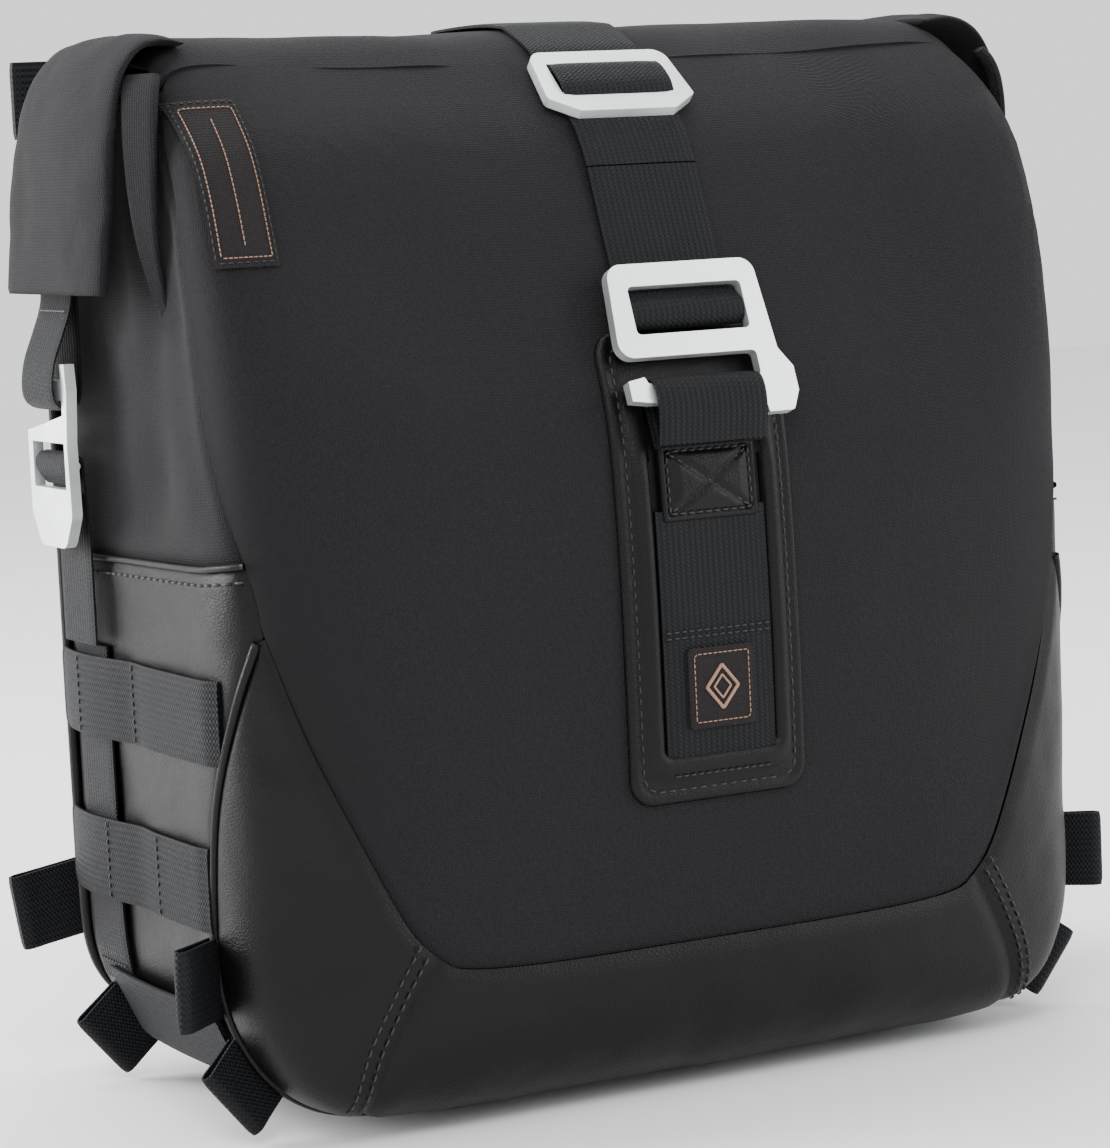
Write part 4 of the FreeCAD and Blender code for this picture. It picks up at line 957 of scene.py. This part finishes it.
def tack_height(x, z):
    rim = -box_distance(x, z, *TACK)
    edge = np.sqrt(np.clip(1 - (1 - np.clip(rim / 1.4, 0, 1)) ** 2, 0, 1))
    u = x / 14.0
    v = (z - 186.0) / 9.2
    cross = hump((u - v) * 8, 1.1) + hump((u + v) * 8, 1.1)
    inside = rim > 2.4
    pillow = 0.9 * np.clip((rim - 2.4) / 4, 0, 1) - 0.8 * np.clip(cross, 0, 1)
    return 3.0 + 1.4 * edge - 0.7 * hump(rim - 2.4, 0.8) + inside * pillow


def emblem_height(x, z):
    return 4.4 + 0.25 * np.clip(-box_distance(x, z, *EMBLEM) / 0.8, 0, 1)


height_piece("tack_panel_leather", TACK, tack_height, "leather", ["tack_panel"], step=0.5, back=2.0)
window_line = on_front(0, np.linspace(105, 178, 60), 2.7)
strap("window_webbing", window_line, X_AXIS, 18.7, CENTRE_THICK, "bag", ["patch_webbing"])
height_piece("emblem_badge", EMBLEM, emblem_height, "label", ["emblem_patch"], back=3.6)


def front_line(points, lift, count=80):
    """A line over the front face through (x, z) points, with its normals."""
    flat = evenly(np.array(points, float), count)
    ground = drop_on_front(flat[:, 0], flat[:, 1])
    out = normals_at(ground)
    return ground + out * lift, out


def rectangle(left, right, low, high):
    return [(left, low), (right, low), (right, high), (left, high), (left, low)]


CORD_SIDES = 8


def cord_line(name, line, out, radius, body, material):
    """A raised thread along a line."""
    tangent = unit(np.gradient(line, axis=0))
    side = unit(np.cross(tangent, out))
    verts = []
    around = CORD_SIDES
    for spot, s, o in zip(line, side, out):
        for k in range(around):
            turn = 2 * math.pi * k / around
            verts.append(spot + (s * math.cos(turn) + o * math.sin(turn)) * radius)
    faces = grid_faces(len(line), around, closed=True)
    faces.append(tuple(range(around)))
    faces.append(tuple(reversed(range((len(line) - 1) * around, len(line) * around))))
    return place(new_object(name, verts, faces, material), body)

EMBLEM_LIFT = 4.75
border = front_line(rectangle(-9.3, 9.3, 115.0, 135.2), EMBLEM_LIFT, 160)
stitches("emblem_border", [border], "bag", "copper", 1.5, 1.75, 0.2)
diamond = [(0, 118.6), (5.4, 125.1), (0, 131.6), (-5.4, 125.1), (0, 118.6)]
inner_diamond = [(0, 121.6), (2.9, 125.1), (0, 128.6), (-2.9, 125.1), (0, 121.6)]
cord_line("emblem_diamond", *front_line(diamond, EMBLEM_LIFT, 90), 0.55, "bag", "copper")
cord_line("emblem_diamond_inner", *front_line(inner_diamond, EMBLEM_LIFT, 60), 0.35, "bag", "copper")

# ---------------------------------------------------------------- woven label

LABEL = (-142.0, -124.0, 256.0, 303.0)
LABEL_COLUMNS, LABEL_ROWS = 22, 50
LABEL_TOP, LABEL_THREAD = 1.15, 1.3     # how far the label and its threads stand off the bag


def label_sheet():
    x_values = np.linspace(LABEL[0], LABEL[1], LABEL_COLUMNS)
    z_values = np.linspace(LABEL[2], LABEL[3], LABEL_ROWS)
    flat = np.array([(x, AHEAD_Y, z) for z in z_values for x in x_values])
    ground = drop_on_front(flat[:, 0], flat[:, 2])
    points = ground + normals_at(ground) * (LABEL_TOP + front_folds(ground))[:, None]
    faces = grid_faces(LABEL_ROWS, LABEL_COLUMNS)
    thing = new_object("label_sheet", points, faces, "label", flat[:, (2, 0, 1)] * MM)
    thicken(thing, 0.7)
    sharpen(thing)
    return place(thing, "bag", "woven_label")


def label_line(points, count=120):
    line, out = front_line(points, 0.0, count)
    return line + out * (LABEL_THREAD + front_folds(line))[:, None], out


label_sheet()
label_frame = label_line(rectangle(-140, -126, 258.6, 300.4))
label_rule = label_line([(-133.4, 261.5), (-133.4, 297.5)], 60)
label_edge = label_line(rectangle(-141.2, -124.8, 257.2, 302))
stitches("label_frame", [label_frame], "bag", "copper", 1.3, 1.45, 0.2)
stitches("label_rule", [label_rule], "bag", "copper", 1.5, 1.6, 0.2)
stitches("label_edge", [label_edge], "bag", "thread", 1.6, 2.4, 0.22)

# ================================================================ side straps, rows and loops

SIDE_X = 150.0
STRAP_Y = 42            # the side strap's middle
SIDE_HOOK_Z = 197.0
HALF_WIDTH = 12.5       # half the width of the side webbing
WEBBING = 1.6

def side_line(points, sx):
    """Points (y, z, out) beside the bag; out is measured from its side."""
    return np.array([(sx * (SIDE_X + out), y, z) for y, z, out in points])


def row_lift(y, stand):
    """How far a webbing row stands off the side: over the strap, and slack between its tacks."""
    ends = 1 - hump(y - 66, 6) - hump(y + 55, 6)
    return stand + 2.3 * hump(y - STRAP_Y, 19) + 1.2 * np.clip(ends, 0, 1) * (1 - hump(y - 10, 9))


Y_AXIS = (0, 1, 0)
# Points (up from the side hook's bar, out from the side) of the strap's hem and of the roll end's loop.
SIDE_HEM = [(-55, 1.3), (-40, 1.3), (-26, 1.3), (-16, 1.5), (-8, 2.1), (-3, 2.4)]
SIDE_HEM += eye(3.4, 2.6, 180, -40, 5.0) + [(-5.6, 4.6)]
SIDE_LOOP = [(66, 1.3), (46, 1.2), (30, 1.2), (21, 1.8), (18.0, 4.0), (17.6, 7.6), (20, 10.2), (25, 10.7),
             (32, 9.4), (40, 6.2), (47, 3.6), (53, 2.8), (66, 2.8)]
RUN_TOP, RUN_LOW, RUN_POINTS = 141.4, 36, 60
# name, height of its middle and front end of each straight webbing row
ROWS = (("one", 126.0, -50), ("two", 76.0, -39.5))
ROW_REAR, ROW_POINTS = 67, 90
LOW_ROW_POINTS = 60

# Lashing loops: start point, outward, width direction and length. The bottom ones leave the bag's
# rounded lower corner, which is an arc about (CORNER_X, CORNER_Z).
CORNER_X, CORNER_Z = 92, 58


def off_corner(radius, degrees):
    """A point (x, z) on the corner's arc, with the (x, z) parts of the way out from it."""
    turn = math.radians(degrees)
    out = (math.cos(turn), -math.sin(turn))
    return (CORNER_X + radius * out[0], CORNER_Z + radius * out[1]), out


rear_corner, rear_out = off_corner(59, 40)
front_corner, front_out = off_corner(60.4, 39)
LASHING = {
    "top": ((120, 85.6, 308), (1, 0.02, 0), (0, 0, 1), 27),
    "rear": ((147, 85.5, 54), (1, 0, -0.15), (0.15, 0, 1), 16),
    "rear_bottom": ((rear_corner[0], 56, rear_corner[1]), (rear_out[0], 0, rear_out[1]),
                    (-rear_out[1], 0, rear_out[0]), 14),
    "front": ((150.5, -40, 50), (0.8, -0.6, 0), (0, 0, 1), 17),
    "front_bottom": ((front_corner[0], -40, front_corner[1]), (front_out[0], -0.35, front_out[1]),
                     (-front_out[1], 0, front_out[0]), 13),
}
TAILS = {"rear": -30, "top": -16}       # how far a loop reaches back to where it is sewn
SHORT_TAIL = -4
LASHING_HALF, LASHING_THICK, LASHING_POINTS = 12, 1.4, 44

for side, sx in SIDES:
    hem = side_line([(STRAP_Y, SIDE_HOOK_Z + up, out) for up, out in SIDE_HEM], sx)
    strap(f"side_strap_{side}_hem", smooth_curve(hem, 70), Y_AXIS, HALF_WIDTH, WEBBING, f"{side}_strap",
          [f"side_strap_upper_{side}"])
    heights = np.linspace(RUN_TOP, RUN_LOW, RUN_POINTS)
    low = drop_on_side(np.full(RUN_POINTS, float(STRAP_Y)), heights, sx)
    low = low + normals_at(low) * 1.3
    strap(f"side_strap_{side}_run", low, Y_AXIS, HALF_WIDTH, WEBBING, "bag", [f"side_strap_lower_{side}"])
    loop = side_line([(STRAP_Y, SIDE_HOOK_Z + up, out) for up, out in SIDE_LOOP], sx)
    strap(f"side_loop_{side}_webbing", smooth_curve(loop, 90), Y_AXIS, HALF_WIDTH, 1.4, "roll_top",
          [f"side_loop_{side}"])
    for number, z_row, y_front in ROWS:
        y_values = np.linspace(ROW_REAR, y_front, ROW_POINTS)
        ground = drop_on_side(y_values, np.full(ROW_POINTS, z_row), sx)
        out = normals_at(ground)
        lift = row_lift(y_values, 1.1) - 1.0 * hump(y_values - y_front, 4)
        strap(f"row_{number}_{side}", ground + out * lift[:, None], (0, 0, 1), HALF_WIDTH, WEBBING, "bag",
              [f"webbing_row_{number}_{side}"])
    y_values = np.linspace(50, -34, LOW_ROW_POINTS)
    ground = onto_bag(np.array([(sx * 168.0, y, 6.0) for y in y_values]))
    out = normals_at(ground)
    lift = 1.6 + 1.2 * np.sin(np.linspace(0, math.pi, LOW_ROW_POINTS))
    row_across = np.cross(np.gradient(ground, axis=0), out)
    strap(f"row_three_{side}", ground + out * lift[:, None], row_across, HALF_WIDTH, WEBBING, "bag",
          [f"webbing_row_three_{side}"])

    for name, (spot, outward, wide, length) in LASHING.items():
        way = unit(np.array([sx * outward[0], outward[1], outward[2]], float))
        across = np.array([sx * wide[0], wide[1], wide[2]], float)
        across = unit(across - way * across.dot(way))
        away = np.cross(way, across)
        origin = np.array([sx * spot[0], spot[1], spot[2]], float)
        tail = TAILS.get(name, SHORT_TAIL)
        leg = [(tail, 1.3), (length * 0.3, 1.5), (length * 0.7, 1.9), (length - 2.2, 1.7)]
        bent = leg + [(length - 0.9, 0)] + [(a, -b) for a, b in reversed(leg)]
        path = smooth_curve([origin + way * a + away * b for a, b in bent], LASHING_POINTS)
        stands = [f"lashing_loops_{name}"] if sx > 0 else []
        strap(f"lashing_{name}_{side}", path, across, LASHING_HALF, LASHING_THICK, "bag", stands)

# ================================================================ liner and hem


LINER_REACH = 190.0
RING_COLUMNS = 150
RING_GUIDE = (190, 120)
CORNER_SQUARENESS = 0.6
SHOULDER_Z = 270


def ring_shell(name, rows, inset, material, thick, body, stands_for):
    """A lining: rings of guide points (radial share, height) laid inside the bag."""
    columns = RING_COLUMNS
    guide = []
    for share, z in rows:
        for k in range(columns):
            turn = 2 * math.pi * k / columns
            c = squared(math.cos(turn), CORNER_SQUARENESS)
            s = squared(math.sin(turn), CORNER_SQUARENESS)
            guide.append((RING_GUIDE[0] * c * share, RING_GUIDE[1] * s * share, z))
    guide = np.array(guide)
    core = np.clip(guide, CORE_LOW, CORE_HIGH)
    core[:, 2] = np.clip(guide[:, 2], CORE_LOW[2], 400.0)
    # above the shoulder the rays start further back, behind the sloping front
    front = np.where(guide[:, 2] > SHOULDER_Z, -12.0, CORE_LOW[1])
    core[:, 1] = np.clip(core[:, 1], front, CORE_HIGH[1])
    points = inside_point(guide, core, inset)
    faces = grid_faces(len(rows), columns, closed=True)
    if rows[0][0] < 0.1:
        faces.append(tuple(range(columns)))
    grid = points.reshape(len(rows), columns, 3)
    thing = new_object(name, points, faces, material, cloth_lengths(grid).reshape(-1, 3))
    face_outwards(thing)
    thicken(thing, thick, 0.0)
    sharpen(thing)
    return place(thing, body, *stands_for)


def inside_point(guide, core, inset):
    way = guide - core
    way = way / np.maximum(np.linalg.norm(way, axis=1)[:, None], 1e-6)
    reach = crossing(lambda far: core + way * far[:, None], np.zeros(len(guide)), LINER_REACH, inset)
    return core + way * reach[:, None]


floor_rows = [(share, -60.0) for share in (0.05, 0.25, 0.45, 0.6, 0.72)]
WALL_HEIGHTS = (-60, -30, 0, 20, 40, 56, 70, 90, 115, 140, 165, 190, 215, 240, 260, 275, 287)
HEM_HEIGHTS = (288.5, 292, 296, 300, 304)
wall_rows = [(1.0, z) for z in WALL_HEIGHTS]
hem_rows = [(1.0, z) for z in HEM_HEIGHTS]
ring_shell("liner_shell", floor_rows + wall_rows, 9.0, "liner", 1.0, "bag", ["inner_liner"])
ring_shell("hem_band", hem_rows, 6.2, "canvas", 1.2, "bag", ["mouth_hem"])

# ================================================================ stitching

# Stitch length, pitch and thread radius in mm for each kind of seam.
SEAM_STITCH = {"length": 3.2, "pitch": 4.6, "radius": 0.42}
MITRE_STITCH = {"length": 2.6, "pitch": 3.7, "radius": 0.36}
PATCH_STITCH = {"length": 2.5, "pitch": 3.5, "radius": 0.36}
TACK_STITCH = {"length": 2.2, "pitch": 2.9, "radius": 0.34}
WINDOW_STITCH = {"length": 1.9, "pitch": 2.6, "radius": 0.3}
ROW_STITCH = {"length": 1.8, "pitch": 2.7, "radius": 0.3}
LOOP_STITCH = {"length": 1.3, "pitch": 2.0, "radius": 0.28}
END_STITCH = {"length": 1.6, "pitch": 2.4, "radius": 0.3}

below_split = [(x, y, z - 4.5) for x, y, z in GUSSET_SPLIT]
runs = [laid(mirrored(below_split, sx), 120, 0.5) for side, sx in SIDES]
stitches("gusset_stitches", runs, "bag", **SEAM_STITCH)
runs = []
for side, sx in SIDES:
    for shift in (2.7, 5.4):
        line = [(x + shift, y, z + shift) for x, y, z in MITRE[:-1]]
        runs.append(laid(mirrored(line, sx), 60, 1.0))
stitches("mitre_stitches", runs, "bag", **MITRE_STITCH)

patch_line = []
half, low, high = PATCH[0] - PATCH_BORDER, PATCH[1] + PATCH_BORDER, PATCH[2] - PATCH_BORDER
ROUND = 5               # radius of the stitched line's corners
for a, b, start in ((half, low, -90), (half, high, 0), (-half, high, 90), (-half, low, 180)):
    centre_x = a - math.copysign(ROUND, a)
    centre_z = b + (ROUND if b == low else -ROUND)
    for degrees in range(start, start + 91, 15):
        turn = math.radians(degrees)
        patch_line.append((centre_x + ROUND * math.cos(turn), centre_z + ROUND * math.sin(turn)))
patch_line.append(patch_line[0])
stitches("patch_stitches", [front_line(patch_line, 1.4, 400)], "bag", **PATCH_STITCH)
runs = [front_line(rectangle(-14, 14, 177, 195.1), 4.0, 200),
        front_line([(-13.5, 177.5), (13.5, 194.6)], 3.9, 60),
        front_line([(-13.5, 194.6), (13.5, 177.5)], 4.1, 60)]
stitches("tack_stitches", runs, "bag", **TACK_STITCH)
runs = [front_line([(-18, z), (18, z)], 3.75, 60) for z in (140.5, 142.3)]
runs += [front_line([(-17, z), (17, z)], 3.4, 60) for z in (99.6, 102.2)]
stitches("window_stitches", runs, "bag", **WINDOW_STITCH)

ROW_TACKS = {126.0: (45, 9), 76.0: (30, -5)}     # where each row is sewn down: its height, and the y of each
TACK_POINTS = 30
across_strap = np.linspace(31, 53, TACK_POINTS)
# Bound and rolled seams: guide points, number of points, lift and radius.
WELTS = {
    "back_binding": (BACK_SEAM, 150, 0.6, 2.0),
    "cheek_welt": (CHEEK_OUTER, 120, 0.2, 1.5),
    "gusset_welt": (GUSSET_SPLIT, 120, 0.1, 1.1),
}
for side, sx in SIDES:
    runs = []
    for z_row, tacks in ROW_TACKS.items():
        for y in tacks:
            heights = np.linspace(z_row - 12, z_row + 12, TACK_POINTS)
            line = drop_on_side(np.full(TACK_POINTS, float(y)), heights, sx)
            out = normals_at(line)
            runs.append((line + out * row_lift(y, 2.05), out))
    stitches(f"row_stitches_{side}", runs, "bag", **ROW_STITCH)
    line = side_line([(y, 241.5, 4.75) for y in across_strap], sx)
    out = np.tile((float(sx), 0.0, 0.0), (TACK_POINTS, 1))
    runs = [(line, out), (line + (0, 0, 2.2), out)]
    stitches(f"loop_stitches_{side}", runs, "roll_top", "pale_thread", **LOOP_STITCH)
    low = drop_on_side(across_strap, np.full(TACK_POINTS, 42.0), sx)
    out = normals_at(low)
    runs = [(low + out * 2.3, out), (low + out * 2.3 + (0, 0, 3.0), out)]
    stitches(f"strap_end_stitches_{side}", runs, "bag", **END_STITCH)
    for name, (guide, count, lift, radius) in WELTS.items():
        line, out = laid(mirrored(guide, sx), count, lift)
        cord_line(f"{name}_{side}", line, out, radius, "bag", "leather")
line, out = laid(toe_low, 120, 0.3)
cord_line("toe_welt", line, out, 1.4, "bag", "leather")

# ================================================================ hardware finishes

HARDWARE = {
    "metal": ("front_hook", "strap_adjuster", "side_hook_left", "side_hook_right"),
    "plastic": ("mounting_plate", "latch_cover", "latch_knob"),
    "steel": ("latch_bolt", "latch_spring", "plate_screws", "plate_nuts"),
    "board": ("back_board", "base_board", "roll_stiffener"),
}
for material, nodes in HARDWARE.items():
    for node in nodes:
        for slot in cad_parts[node].material_slots:
            slot.material = MATERIALS[material]

# ================================================================ camera, light and floor

CAMERA_AT = Vector((-0.5656, -1.0268, 0.2836))
CAMERA_TO = Vector((-0.01355, -0.010, 0.154))
ROLL = math.radians(-2.63)
LENS, SENSOR_WIDTH = 117.14, 36
back_way = (CAMERA_AT - CAMERA_TO).normalized()
right_way = Vector((0, 0, 1)).cross(back_way).normalized()
up_way = back_way.cross(right_way)
x_way = right_way * math.cos(ROLL) + up_way * math.sin(ROLL)
y_way = up_way * math.cos(ROLL) - right_way * math.sin(ROLL)
camera = bpy.data.objects.new("camera", bpy.data.cameras.new("camera"))
camera.data.lens = LENS
camera.data.sensor_width = SENSOR_WIDTH
turned = Matrix((x_way, y_way, back_way)).transposed().to_4x4()
camera.matrix_world = Matrix.Translation(CAMERA_AT) @ turned
bpy.context.scene.collection.objects.link(camera)
bpy.context.scene.camera = camera


def area_light(name, at, to, size, power):
    lamp = bpy.data.lights.new(name, "AREA")
    lamp.shape = "RECTANGLE"
    lamp.size, lamp.size_y = size
    lamp.energy = power
    thing = bpy.data.objects.new(name, lamp)
    thing.location = at
    thing.rotation_euler = (Vector(at) - Vector(to)).to_track_quat("Z", "Y").to_euler()
    bpy.context.scene.collection.objects.link(thing)


area_light("key", (-0.9, -1.3, 1.6), (0, 0, 0.18), (0.9, 0.9), 26)
area_light("top", (0.0, 0.5, 1.6), (0, 0, 0.25), (1.4, 0.8), 20)
area_light("side", (-1.5, 1.1, 0.75), (-0.1, 0, 0.16), (0.9, 1.1), 62)
area_light("fill", (1.5, -1.2, 0.8), (0, 0, 0.16), (0.8, 1.2), 20)

world = bpy.data.worlds.new("studio")
world.use_nodes = True
sky = world.node_tree.nodes["Background"].inputs
sky["Color"].default_value = (0.97, 0.98, 1.0, 1)
sky["Strength"].default_value = 1.35
bpy.context.scene.world = world

FLOOR_REACH = 3.0
corners = [(x * FLOOR_REACH, y * FLOOR_REACH, 0) for x, y in ((-1, -1), (1, -1), (1, 1), (-1, 1))]
floor_mesh = bpy.data.meshes.new("floor")
floor_mesh.from_pydata(corners, [], [(0, 1, 2, 3)])
floor = bpy.data.objects.new("floor", floor_mesh)
bpy.context.scene.collection.objects.link(floor)
floor_nodes = Nodes("floor")
floor_nodes.finish(floor_nodes.mix(floor_nodes.noise(3, 2), (0.86, 0.86, 0.86), (0.9, 0.9, 0.9)), 0.7)
floor_mesh.materials.append(floor_nodes.material)
